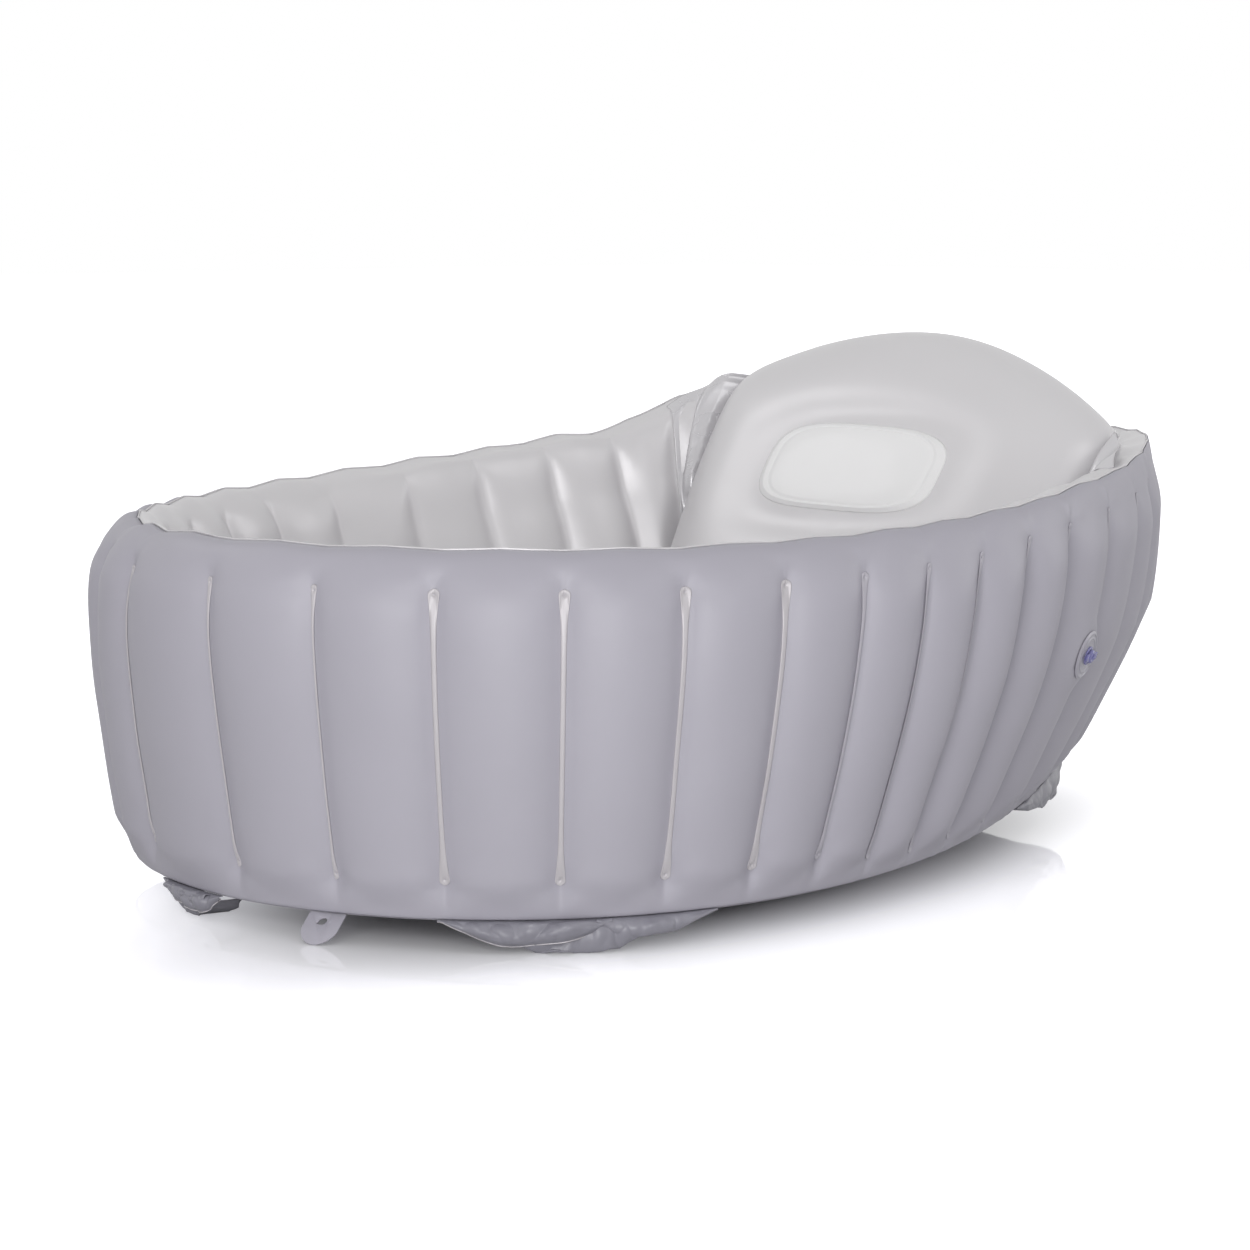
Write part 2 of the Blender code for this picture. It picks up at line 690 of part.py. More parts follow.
def valve_body(name, flange, tube, length, bore, material):
    thickness = VALVE_FLANGE_THICKNESS
    profile = [
        (bore / 2, thickness), (flange / 2 - thickness, thickness), (flange / 2, 0),
        (tube / 2, 0), (tube / 2, -length), (bore / 2, -length),
    ]
    return turned(name, profile, material)


def plug_with_wings(name, shank, length, seat, material):
    """A turned plug with a flat pull wing on each side, joined into one body."""
    head = PLUG_HEAD / 2
    top = seat + PLUG_HEAD_THICKNESS
    profile = [
        (0, top), (head * 0.8, top), (head, top - PLUG_HEAD_THICKNESS * 0.3), (head, seat),
        (shank / 2, seat), (shank / 2, seat - length * 0.8), (shank / 2 * 0.8, seat - length), (0, seat - length),
    ]
    plug = turned(name, profile, material)
    half = (PLUG_WING_REACH, PLUG_WING_WIDTH / 2, PLUG_WING_THICKNESS / 2)
    centre = Vector((0, 0, seat + PLUG_HEAD_THICKNESS / 2))
    mesh = bpy.data.meshes.new(name + "_wings")
    box_mesh(mesh, centre, half)
    wings = add_object(name + "_wings", mesh, None, CUTTERS)
    wings.hide_render = True
    wings.display_type = "WIRE"
    union = plug.modifiers.new("wings", "BOOLEAN")
    union.operation = "UNION"
    union.solver = "EXACT"
    union.object = wings
    return plug, wings


def box_mesh(mesh, centre, half):
    import bmesh

    work = bmesh.new()
    bmesh.ops.create_cube(work, size=2)
    bmesh.ops.scale(work, vec=half, verts=work.verts)
    bmesh.ops.translate(work, vec=centre, verts=work.verts)
    work.to_mesh(mesh)
    work.free()


def surface_frame(point_at):
    """A frame on a surface given by point_at(a, b) near (0, 0): Z out of it, X level."""
    tiny = TINY_TURN_SHARE
    origin = point_at(0, 0)
    normal = (point_at(tiny, 0) - point_at(-tiny, 0)).cross(point_at(0, tiny) - point_at(0, -tiny)).normalized()
    across = Vector((0, 0, 1)).cross(normal)
    if across.length < TINY_TURN_SHARE:
        across = Vector((1, 0, 0))
    return origin, normal, across


def build_wall_valve(outer_skin, clear, violet):
    turn = turn_at(VALVE_PLACE_SHARE)
    origin, normal, across = surface_frame(lambda a, b: wall_point(turn + a, VALVE_HEIGHT_SHARE + b, 1, 1))
    matrix = frame_matrix(origin + normal * VALVE_LIFT, across, normal)
    body = valve_body("wall_valve_body", VALVE_FLANGE, VALVE_TUBE, VALVE_TUBE_LENGTH, VALVE_BORE, clear)
    body.matrix_world = matrix
    hole_radius = VALVE_TUBE / 2 + SKIN_HOLE_CLEARANCE
    cut(outer_skin, cutter_round("wall_valve_cut", hole_radius, VALVE_LIFT + CUT_OVERRUN, matrix))
    outer = VALVE_BORE / 2 - STEM_CLEARANCE
    inner = outer - STEM_WALL
    collar_low = VALVE_FLANGE_THICKNESS + GAP
    collar_top = collar_low + STEM_COLLAR_THICKNESS
    end = collar_top - STEM_LENGTH
    stem = turned("wall_valve_stem", [
        (inner, collar_top), (STEM_COLLAR / 2, collar_top), (STEM_COLLAR / 2, collar_low),
        (outer, collar_low), (outer, end), (inner, end),
    ], violet)
    stem.matrix_world = matrix
    shank = 2 * (inner - PLUG_CLEARANCE)
    plug, wings = plug_with_wings("wall_valve_plug", shank, PLUG_LENGTH, collar_top + GAP, violet)
    plug.matrix_world = matrix
    wings.matrix_world = matrix
    flap_top = end - GAP
    flap_radius = inner + FLAP_OVERLAP
    flap = turned("wall_valve_flap", [
        (0, flap_top), (flap_radius, flap_top), (flap_radius, flap_top - FLAP_THICKNESS), (0, flap_top - FLAP_THICKNESS),
    ], clear)
    flap.matrix_world = matrix
    return matrix


def build_small_valve(name, skin, matrix, clear, violet):
    body = valve_body(name + "_body", SMALL_FLANGE, SMALL_TUBE, SMALL_TUBE_LENGTH, SMALL_BORE, clear)
    body.matrix_world = matrix
    shank = SMALL_BORE - 2 * PLUG_CLEARANCE
    plug, wings = plug_with_wings(name + "_plug", shank, PLUG_LENGTH, VALVE_FLANGE_THICKNESS + GAP, violet)
    plug.matrix_world = matrix
    wings.matrix_world = matrix
    hole_radius = SMALL_TUBE / 2 + SKIN_HOLE_CLEARANCE
    cut(skin, cutter_round(name + "_cut", hole_radius, VALVE_LIFT + CUT_OVERRUN, matrix))


def back_skin_frame():
    """A flat place high on the backrest's back skin, between its outermost rings."""
    places = []
    for i in (1, 2):
        along = BACKREST_MIDDLE[1] + (BACKREST_LENGTH - BACKREST_MIDDLE[1]) * BACKREST_RING_SHARES[i]
        places.append(back_point(0, along, BACK_HEIGHT_SHARES[i]))
    normal = Vector((0, -1, 0)).cross(places[1] - places[0]).normalized()
    return (places[0] + places[1]) / 2, normal


def build_drain(floor_skin, base_sheet, clear, material):
    """A tube through the floor cushion with a flange on top, and its stopper."""
    top = FLOOR_HEIGHT + DRAIN_LIP + GAP
    matrix = Matrix.Translation((DRAIN_X, 0, 0))
    body = turned("drain_body", [
        (DRAIN_BORE / 2, top), (DRAIN_FLANGE / 2 - DRAIN_LIP, top), (DRAIN_FLANGE / 2, top - DRAIN_LIP),
        (DRAIN_TUBE / 2, top - DRAIN_LIP), (DRAIN_TUBE / 2, DRAIN_FOOT_RISE), (DRAIN_BORE / 2, DRAIN_FOOT_RISE),
    ], clear)
    body.matrix_world = matrix
    reach = FLOOR_HEIGHT + CUT_OVERRUN
    radius = DRAIN_TUBE / 2 + SKIN_HOLE_CLEARANCE
    cutter = cutter_round("drain_cut", radius, reach, matrix)
    cut(floor_skin, cutter)
    cut(base_sheet, cutter)
    seat = top + GAP
    head = seat + DRAIN_PLUG_HEAD_THICKNESS
    shank = DRAIN_BORE / 2 - PLUG_CLEARANCE
    plug = turned("drain_plug", [
        (0, head + DRAIN_KNOB_HEIGHT), (DRAIN_KNOB / 2, head + DRAIN_KNOB_HEIGHT), (DRAIN_KNOB / 2, head),
        (DRAIN_PLUG_HEAD / 2, head), (DRAIN_PLUG_HEAD / 2, seat), (shank, seat),
        (shank * 0.92, seat - DRAIN_PLUG_LENGTH), (0, seat - DRAIN_PLUG_LENGTH),
    ], material)
    plug.matrix_world = matrix


def centre_over_origin():
    """Moves everything so that the box round the whole part is centred over the origin."""
    bpy.context.view_layer.update()
    graph = bpy.context.evaluated_depsgraph_get()
    solids = [thing.evaluated_get(graph) for thing in PARTS.objects]
    corners = [solid.matrix_world @ Vector(corner) for solid in solids for corner in solid.bound_box]
    xs, ys = [corner.x for corner in corners], [corner.y for corner in corners]
    shift = Matrix.Translation((-(min(xs) + max(xs)) / 2, -(min(ys) + max(ys)) / 2, 0))
    for thing in (*PARTS.objects, *CUTTERS.objects):
        thing.matrix_world = shift @ thing.matrix_world


def main():
    grey = make_material("grey_film", GREY, 0.55)
    pearl = make_material("pearl_film", PEARL, 0.35)
    white = make_material("white_film", PANEL_WHITE, 0.60)
    clear = make_material("clear_vinyl", CLEAR_GREY, 0.30)
    violet = make_material("violet_vinyl", VIOLET, 0.25)

    outer_skin = build_wall_skin("outer_wall_skin", 1, grey)
    build_wall_skin("inner_wall_skin", -1, pearl)
    build_webs(pearl)
    floor_skin = build_floor_skin(pearl)
    base_sheet = build_base_sheet(grey)

    build_backrest_front(pearl)
    back_skin = build_backrest_back(pearl)
    build_panel(white)
    build_gusset("gusset_near", 1, pearl)
    build_gusset("gusset_far", -1, pearl)

    build_skirt_fold("skirt_fold_side", SIDE_FOLD_SHARES, SIDE_FOLD_BULGE, SIDE_FOLD_DEPTH, SIDE_FOLD_FALL_SHARE, grey)
    build_skirt_fold("skirt_fold_foot", FOOT_FOLD_SHARES, FOOT_FOLD_BULGE, FOOT_FOLD_DEPTH, FOOT_FOLD_FALL_SHARE, grey)
    build_skirt_fold("skirt_fold_head", HEAD_FOLD_SHARES, HEAD_FOLD_BULGE, HEAD_FOLD_DEPTH, HEAD_FOLD_FALL_SHARE, grey)
    build_tab(grey)

    build_wall_valve(outer_skin, clear, violet)
    origin, normal = back_skin_frame()
    matrix = frame_matrix(origin + normal * VALVE_LIFT / 2, Vector((0, 1, 0)), normal)
    build_small_valve("backrest_valve", back_skin, matrix, clear, violet)
    lift = Vector((FLOOR_VALVE_X, FLOOR_VALVE_Y, FLOOR_HEIGHT + GAP))
    matrix = frame_matrix(lift, Vector((1, 0, 0)), Vector((0, 0, 1)))
    build_small_valve("floor_valve", floor_skin, matrix, clear, violet)
    build_drain(floor_skin, base_sheet, clear, white)
    centre_over_origin()


main()
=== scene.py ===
"""Looks of the inflatable baby bathtub: inflated skins, weld strips, cushion, film, valves, tab and drain."""

import bisect
import math

import bpy
from mathutils import Matrix, Vector, bvhtree, noise


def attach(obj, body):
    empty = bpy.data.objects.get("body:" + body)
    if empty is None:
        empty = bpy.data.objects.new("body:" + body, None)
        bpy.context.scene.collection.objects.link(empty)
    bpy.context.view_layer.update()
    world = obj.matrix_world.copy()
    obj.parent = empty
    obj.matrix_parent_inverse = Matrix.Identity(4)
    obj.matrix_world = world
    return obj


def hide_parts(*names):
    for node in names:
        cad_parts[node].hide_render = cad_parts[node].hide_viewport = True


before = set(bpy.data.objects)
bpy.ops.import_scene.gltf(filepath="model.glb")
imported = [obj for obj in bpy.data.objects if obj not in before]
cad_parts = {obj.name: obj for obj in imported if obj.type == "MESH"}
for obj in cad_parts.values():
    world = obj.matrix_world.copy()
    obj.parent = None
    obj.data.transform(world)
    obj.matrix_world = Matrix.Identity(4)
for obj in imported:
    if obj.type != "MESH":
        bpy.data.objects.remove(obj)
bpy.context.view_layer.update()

# Sizes of the tub
SHIFT = Vector((0.02288, 0.00002, 0.0))
CREST_FOOT_REACH = 0.4635
CREST_HEAD_REACH = 0.4295
CREST_WIDTH = 0.634
CREST_POWER = 1.85
CREST_TAPER = -0.208
CREST_FULLNESS = 0.051
CREST_NARROWING = 0.16
NARROWING_START = 0.30
CREST_MIDDLE_HEIGHT = 0.2795
CREST_FOOT_FALL = 0.016
SHOULDER_RISE = 0.0295
SHOULDER_SHARE = 0.55
HEAD_DROP = 0.041
HEAD_DROP_START = 0.45
HEAD_DROP_RUN = 0.55
CREST_TWIST = 0.011
TWIST_START = 0.15
TWIST_RUN = 0.40
BASE_REACH = 0.424
BASE_WIDTH = 0.551
BASE_SHIFT = -0.035
BASE_POWER = 1.9
BASE_TAPER = -0.47
BASE_FOOT_HEIGHT = 0.0187
BASE_RISE = 0.032
OUTER_SWELL = 0.027
OUTER_SWELL_RISE = 0.005
OUTER_POWER = 1.745
OUTER_POWER_FALL = 0.785
OUTER_LEAST_POWER = 1.2
OUTER_LEAN = 0.383
OUTER_LEAN_FALL = 0.294
INNER_SWELL = 0.030
INNER_POWER = 2.1
SEAM_HALF = 0.00055
GIRTH = 1.1985
WALL_HEIGHT = 0.26
FILM = 0.0004
SLACK_FILM = 0.0005

# Lobes, creases and rim
WELD_LOW = 0.095
WELD_HEAD_DROP = 0.050
WELD_TOP = 0.905
WELD_HEAD_RISE = 0.016
CREASE_HALF = 0.0020
OUTER_SHARPNESS = 0.18
INNER_SHARPNESS = 0.15
OUTER_PEAK = 0.0068
INNER_PEAK = 0.0050
OUTER_DEPTH = 0.0105
OUTER_HEAD_DEPTH = 0.0035
INNER_DEPTH = 0.0060
SMOOTH_LOBE = 0.6
FADE_START = 0.05
FADE_EARLY_START = 0.08
FADE_RUN = 1.04
FADE_EARLY_RUN = 0.060
PUCKER_DEPTH = 0.0014
PUCKER_REACH = 0.010
PUCKER_RAYS = 0.0005
SKIN_WAVE = 0.0009
FAR_LEAN = 0.027
NEAR_SAG = 0.0008
FAR_SAG = 0.0016
RIM_WAVE = 0.0006
TIE_LIFT = 0.0125
TIE_DIP = 0.0040
ROLL = 0.0022
HEAD_ROLL = 0.0145
PAD_REACH = 0.034
PAD_HALF_DEPTH = 0.03
PAD_RADIUS = 0.0175
PAD_RUN = 0.0150
PAD_INSET = 0.0004
NEAR_RIBS = (
    0.0134, 0.0815, 0.1476, 0.2143, 0.2769, 0.3332, 0.3825, 0.4273, 0.4705,
    0.5160, 0.5639, 0.6245, 0.688, 0.746, 0.804, 0.862, 0.918, 0.974,
)
FAR_RIBS = (
    0.0606, 0.110, 0.158, 0.207, 0.257, 0.3076, 0.3622, 0.4214, 0.4872,
    0.5449, 0.5998, 0.6513, 0.705, 0.760, 0.815, 0.870, 0.925, 0.978,
)


# Shape of the tub
def plan_shares(turn, power):
    across, along = math.sin(turn), math.cos(turn)
    u = math.copysign(abs(along) ** (2 / power), along)
    return u, math.copysign(abs(across) ** (2 / power), across)


def crest(turn):
    """The seam at the top of the wall."""
    u, side = plan_shares(turn, CREST_POWER)
    spread = 1 + CREST_TAPER * u + CREST_FULLNESS * u * u
    spread -= CREST_NARROWING * max(u - NARROWING_START, 0) ** 2
    reach = CREST_HEAD_REACH if u > 0 else CREST_FOOT_REACH
    curve = (SHOULDER_RISE / SHOULDER_SHARE - CREST_FOOT_FALL) / (1 + SHOULDER_SHARE)
    height = CREST_MIDDLE_HEIGHT + (curve + CREST_FOOT_FALL) * u + curve * u * u
    height -= HEAD_DROP * (max(u - HEAD_DROP_START, 0) / HEAD_DROP_RUN) ** 2
    twist = CREST_TWIST * side * min(max(u - TWIST_START, 0) / TWIST_RUN, 1)
    return SHIFT + Vector((reach * u, CREST_WIDTH / 2 * side * spread, height + twist))


def base(turn):
    """The seam at the foot of the wall."""
    u, side = plan_shares(turn, BASE_POWER)
    height = BASE_FOOT_HEIGHT + BASE_RISE * (u + 1) / 2
    return SHIFT + Vector((BASE_REACH * u + BASE_SHIFT, BASE_WIDTH / 2 * side * (1 + BASE_TAPER * u), height))


def outward(turn):
    step = crest(turn + 0.002) - crest(turn - 0.002)
    return Vector((step.y, -step.x, 0)).normalized()


def measure_half_girth():
    turns = [math.pi * (1 + i / 720) for i in range(721)]
    lengths = [0]
    for a, b in zip(turns, turns[1:]):
        lengths.append(lengths[-1] + (crest(b).xy - crest(a).xy).length)
    return turns, [length / lengths[-1] for length in lengths]


TURNS, SHARES = measure_half_girth()


def turn_at(place):
    """The turn at a place on the girth: 0 at the foot, 1 at the head, and negative on the +Y side."""
    place = (place + 1) % 2 - 1
    if place < 0:
        return 2 * math.pi - turn_at(-place) if place > -1 else 0
    i = min(max(bisect.bisect(SHARES, place), 1), len(TURNS) - 1)
    low, high = SHARES[i - 1], SHARES[i]
    return TURNS[i - 1] + (TURNS[i] - TURNS[i - 1]) * (place - low) / (high - low)


def smooth(x):
    x = min(max(x, 0), 1)
    return x * x * (3 - 2 * x)


def ramp(value, start, run):
    """0 up to the start, 1 once past the run, and smooth between."""
    return smooth((value - start) / run)


def bell(x):
    return math.exp(-x * x)


def hump(value, centre, width):
    """1 at the centre, and falling off over the width on both sides."""
    return bell((value - centre) / width)


RIB_PLACES = sorted([-rib for rib in FAR_RIBS] + list(NEAR_RIBS))


def rib_gap(place):
    """Distance in metres to the nearest rib on each side of a place."""
    i = bisect.bisect(RIB_PLACES, place)
    low = RIB_PLACES[i - 1] if i else RIB_PLACES[-1] - 2
    high = RIB_PLACES[i] if i < len(RIB_PLACES) else RIB_PLACES[0] + 2
    return (place - low) * GIRTH, (high - place) * GIRTH


def weld_ends(place):
    """Shares of the wall's height at which a rib's weld starts and ends. It is longer towards the head."""
    low = WELD_LOW - WELD_HEAD_DROP * ramp(abs(place), 0.38, 0.08)
    top = WELD_TOP + WELD_HEAD_RISE * ramp(abs(place), 0.45, 0.07)
    return low, top


def pill(share, power):
    return max(1 - abs(2 * share - 1) ** power, 0) ** (1 / power)


def tube_swell(turn, share, side):
    """The skin's distance from the straight line between the seams. The outside leans up at the foot end."""
    if side < 0:
        return INNER_SWELL * pill(share, INNER_POWER)
    u, _ = plan_shares(turn, CREST_POWER)
    lean = 1 + (OUTER_LEAN - OUTER_LEAN_FALL * u) * (2 * share - 1)
    power = max(OUTER_POWER - OUTER_POWER_FALL * u, OUTER_LEAST_POWER)
    return (OUTER_SWELL + OUTER_SWELL_RISE * u) * pill(share, power) * lean


def lobe_fade(place, share, weld_top):
    """The lobes flatten out towards both seams, and towards the head they do so further below the crest."""
    early = ramp(abs(place), 0.36, 0.08)
    above = share - weld_top + FADE_START + FADE_EARLY_START * early
    run = FADE_RUN - weld_top + FADE_EARLY_RUN * early
    return ramp(share, 0.015, 0.10) * (1 - smooth(above / run))


def wall_swell(turn, place, share, side):
    """How far the film stands out: the tube, the lobes and the puckers at the ends of the welds."""
    low, high = rib_gap(place)
    near, length = min(low, high), low + high
    run = max(near - CREASE_HALF, 0) / (length / 2 - CREASE_HALF)
    if side > 0:
        sharp, peak = OUTER_SHARPNESS, OUTER_PEAK
        depth = OUTER_DEPTH + OUTER_HEAD_DEPTH * ramp(abs(place), 0.40, 0.14)
        depth *= 1 - SMOOTH_LOBE * hump(place, 0.665, 0.060)
    else:
        sharp, peak, depth = INNER_SHARPNESS, INNER_PEAK, INNER_DEPTH
    arc = (1 - sharp) * (1 - (1 - run) ** 2) + sharp * (1 - (1 - run) ** 6)
    weld_low, weld_top = weld_ends(place)
    fade = lobe_fade(place, share, weld_top)
    swell = tube_swell(turn, share, side) + SEAM_HALF + (peak - depth * (1 - arc)) * fade
    pinch = 1 - 0.9 * ramp(abs(place), 0.36, 0.10)
    for end in (weld_low, weld_top):
        rise = (share - end) * WALL_HEIGHT
        away = math.hypot(near, rise)
        swell -= PUCKER_DEPTH * pinch * bell(away / PUCKER_REACH)
        swell += PUCKER_RAYS * math.cos(5 * math.atan2(near, rise)) * hump(away, 0.016, 0.012)
    spot = Vector((place * 21, share * 5, side * 3.7))
    return swell + SKIN_WAVE * noise.noise(spot) * min(pill(share, 2.6) * 1.2, 1)


def rib_lean(place, share):
    """On the +Y side the ribs lean towards the head as they go down."""
    if place >= 0:
        return place
    amount = ramp(-place, 0, 0.10) * (1 - ramp(-place, 0.652, 0.050))
    return place - FAR_LEAN * amount * (1 - math.exp(-max(1 - share, 0) / 0.25))


def rim_sag(place):
    """The rim dips at each rib, and waves a little besides."""
    low, high = rib_gap(place)
    sag = NEAR_SAG if place > 0 else FAR_SAG
    return sag * (4 * min(low, high) / (low + high) - 1) + RIM_WAVE * noise.noise(Vector((place * 17, 3, 1)))


def rim_lift(place):
    """The far rim rises where the side film is tied to it, with a slight dip in front of that."""
    return TIE_LIFT * hump(place, -0.718, 0.026) - TIE_DIP * hump(place, -0.655, 0.03)


def inner_roll(place, share):
    """Just below the crest the inner skin bulges upwards, most towards the head."""
    roll = ROLL + HEAD_ROLL * ramp(abs(place), 0.34, 0.22) * (1 - 0.6 * ramp(abs(place), 0.75, 0.2))
    return roll * math.sin(math.pi * min(max((share - 0.80) / 0.2, 0), 1)) ** 1.5


def wall_point(place, share, side):
    """A point of the skin. The place is the rib's own place at the crest, however the ribs lean."""
    turn = turn_at(rib_lean(place, share))
    swell = wall_swell(turn, place, share, side)
    point = base(turn).lerp(crest(turn), share) + outward(turn) * side * swell
    point.z += rim_sag(place) * ramp(share, 0.8, 0.2)
    point.z += rim_lift(place) * ramp(share, 0.4, 0.6)
    if side > 0:
        return valve_pad(point, WALL_VALVE)
    point.z += inner_roll(place, share)
    return point


def valve_pad(point, valve):
    """Under a valve's flange the skin lies flat."""
    local = valve.inverted() @ point
    away = math.hypot(local.x, local.y)
    if away < PAD_REACH and abs(local.z) < PAD_HALF_DEPTH:
        local.z += (-PAD_INSET - local.z) * (1 - ramp(away, PAD_RADIUS, PAD_RUN))
        return valve @ local
    return point


def frame_of(origin, across, out):
    z = out.normalized()
    x = (across - z * across.dot(z)).normalized()
    return Matrix.Translation(origin) @ Matrix((x, z.cross(x), z)).transposed().to_4x4()


WALL_VALVE = frame_of(
    Vector((0.09781, -0.30711, 0.16545)),
    Vector((0.93757, 0.34778, 0.0)),
    Vector((0.33382, -0.89993, -0.28052)),
)
BACKREST_VALVE = frame_of(
    Vector((0.33177, 0.00002, 0.33894)), Vector((0, 1, 0)), Vector((0.93053, 0.0, 0.36623)))
FLOOR_VALVE = frame_of(
    Vector((-0.02712, 0.12002, 0.0603)), Vector((1, 0, 0)), Vector((0, 0, 1)))
FLOOR_VALVE_CUT = (-0.02712, 0.12, 0.06)
FLOOR_VALVE_HOLE = 0.0061
DRAIN_X = -0.30712
DRAIN_HOLE = 0.0126


# Modelling tools
def only(piece):
    bpy.ops.object.select_all(action="DESELECT")
    piece.select_set(True)
    bpy.context.view_layer.objects.active = piece


def edit(piece):
    only(piece)
    bpy.ops.object.mode_set(mode="EDIT")
    bpy.ops.mesh.select_mode(type="VERT")
    bpy.ops.mesh.select_all(action="SELECT")


def leave_edit():
    bpy.ops.object.mode_set(mode="OBJECT")


def name_piece(name):
    piece = bpy.context.active_object
    piece.name = name
    piece.data.name = name
    return piece


def finish_piece(piece, material, body, slot, *nodes):
    only(piece)
    bpy.ops.object.transform_apply(location=True, rotation=True, scale=True)
    piece.data.materials.clear()
    piece.data.materials.append(material)
    bpy.ops.object.shade_smooth()
    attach(piece, body)
    if nodes:
        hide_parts(*nodes)


def apply_modifier(piece, kind, **values):
    only(piece)
    modifier = piece.modifiers.new(kind.lower(), kind)
    for key, value in values.items():
        setattr(modifier, key, value)
    bpy.ops.object.modifier_apply(modifier=modifier.name)


def shaped_grid(name, columns, rows, place, closed=False):
    """A grid primitive whose points go to place(column share, row share)."""
    bpy.ops.mesh.primitive_grid_add(x_subdivisions=columns, y_subdivisions=rows, size=1)
    piece = name_piece(name)
    for point in piece.data.vertices:
        point.co = place(point.co.x + 0.5, point.co.y + 0.5)
    if closed:
        edit(piece)
        bpy.ops.mesh.remove_doubles(threshold=0.00001)
        leave_edit()
    return piece


def film(piece, thickness=FILM):
    """The skin's thickness lies behind its face."""
    apply_modifier(piece, "SOLIDIFY", thickness=thickness, offset=-1)


def centred_film(piece, thickness):
    apply_modifier(piece, "SOLIDIFY", thickness=thickness, offset=0)


def rounded(piece, width, angle):
    apply_modifier(piece, "BEVEL", width=width, segments=2, limit_method="ANGLE", angle_limit=angle)


def join(pieces):
    """The first piece takes in the others."""
    bpy.ops.object.select_all(action="DESELECT")
    for piece in pieces:
        piece.select_set(True)
    bpy.context.view_layer.objects.active = pieces[0]
    bpy.ops.object.join()


def cut_round(piece, centre, radius):
    bpy.ops.mesh.primitive_cylinder_add(vertices=48, radius=radius, depth=0.05, location=centre)
    cutter = name_piece("round_cut")
    apply_modifier(piece, "BOOLEAN", operation="DIFFERENCE", object=cutter)
    bpy.data.objects.remove(cutter, do_unlink=True)


def through(points, run):
    """A smooth curve through a list of points of any size, at a share of the way."""
    reach = run * (len(points) - 1)
    i = min(int(reach), len(points) - 2)
    t = reach - i
    a, b, c, d = (points[min(max(j, 0), len(points) - 1)] for j in (i - 1, i, i + 1, i + 2))
    return [
        0.5 * (2 * q + (r - p) * t + (2 * p - 5 * q + 4 * r - s) * t * t + (3 * q - p - 3 * r + s) * t ** 3)
        for p, q, r, s in zip(a, b, c, d)
    ]


# Materials
def socket_group(name, inputs, outputs):
    group = bpy.data.node_groups.new(name, "ShaderNodeTree")
    for label, kind, value in inputs:
        made = group.interface.new_socket(name=label, in_out="INPUT", socket_type=kind)
        if value is not None:
            made.default_value = value
    for label, kind in outputs:
        group.interface.new_socket(name=label, in_out="OUTPUT", socket_type=kind)
    return group


def make_vinyl_grain():
    """Fine grain, soft cloudiness and faint handling marks of vinyl film."""
    group = socket_group(
        "vinyl_grain",
        [("Colour", "NodeSocketColor", (0.5, 0.5, 0.5, 1)), ("Cloud", "NodeSocketFloat", 0.05),
         ("Roughness", "NodeSocketFloat", 0.4), ("Spread", "NodeSocketFloat", 0.08),
         ("Grain", "NodeSocketFloat", 0.3)],
        [("Colour", "NodeSocketColor"), ("Roughness", "NodeSocketFloat"), ("Height", "NodeSocketFloat")],
    )
    nodes, links = group.nodes, group.links
    given, out = nodes.new("NodeGroupInput"), nodes.new("NodeGroupOutput")
    place = nodes.new("ShaderNodeTexCoord")
    cloud, marks, grain = (nodes.new("ShaderNodeTexNoise") for _ in range(3))
    for texture, scale, detail in ((cloud, 9, 3), (marks, 46, 5), (grain, 2600, 2)):
        texture.inputs["Scale"].default_value = scale
        texture.inputs["Detail"].default_value = detail
        links.new(place.outputs["Object"], texture.inputs["Vector"])
    centred = nodes.new("ShaderNodeMath")
    centred.operation = "SUBTRACT"
    centred.inputs[1].default_value = 0.5
    links.new(cloud.outputs["Fac"], centred.inputs[0])
    amount = nodes.new("ShaderNodeMath")
    amount.operation = "MULTIPLY"
    links.new(centred.outputs[0], amount.inputs[0])
    links.new(given.outputs["Cloud"], amount.inputs[1])
    value = nodes.new("ShaderNodeMath")
    value.operation = "ADD"
    value.inputs[1].default_value = 1
    links.new(amount.outputs[0], value.inputs[0])
    tint = nodes.new("ShaderNodeHueSaturation")
    links.new(value.outputs[0], tint.inputs["Value"])
    links.new(given.outputs["Colour"], tint.inputs["Color"])
    links.new(tint.outputs["Color"], out.inputs["Colour"])
    rough = nodes.new("ShaderNodeMath")
    rough.operation = "MULTIPLY_ADD"
    links.new(marks.outputs["Fac"], rough.inputs[0])
    links.new(given.outputs["Spread"], rough.inputs[1])
    links.new(given.outputs["Roughness"], rough.inputs[2])
    links.new(rough.outputs[0], out.inputs["Roughness"])
    height = nodes.new("ShaderNodeMath")
    height.operation = "MULTIPLY"
    links.new(grain.outputs["Fac"], height.inputs[0])
    links.new(given.outputs["Grain"], height.inputs[1])
    links.new(height.outputs[0], out.inputs["Height"])
    return group


VINYL_GRAIN = make_vinyl_grain()


def vinyl(name, colour, roughness, cloud=0.06, spread=0.08, grain=0.3, **values):
    material = bpy.data.materials.new(name)
    material.use_nodes = True
    nodes, links = material.node_tree.nodes, material.node_tree.links
    shader = nodes["Principled BSDF"]
    for key, value in values.items():
        shader.inputs[key.replace("_", " ")].default_value = value
    group = nodes.new("ShaderNodeGroup")
    group.node_tree = VINYL_GRAIN
    for key, value in (("Colour", (*colour, 1)), ("Cloud", cloud), ("Roughness", roughness - spread / 2),
                       ("Spread", spread), ("Grain", grain)):
        group.inputs[key].default_value = value
    bump = nodes.new("ShaderNodeBump")
    bump.inputs["Strength"].default_value = 0.25
    bump.inputs["Distance"].default_value = 0.0002
    links.new(group.outputs["Colour"], shader.inputs["Base Color"])
    links.new(group.outputs["Roughness"], shader.inputs["Roughness"])
    links.new(group.outputs["Height"], bump.inputs["Height"])
    links.new(bump.outputs["Normal"], shader.inputs["Normal"])
    return material


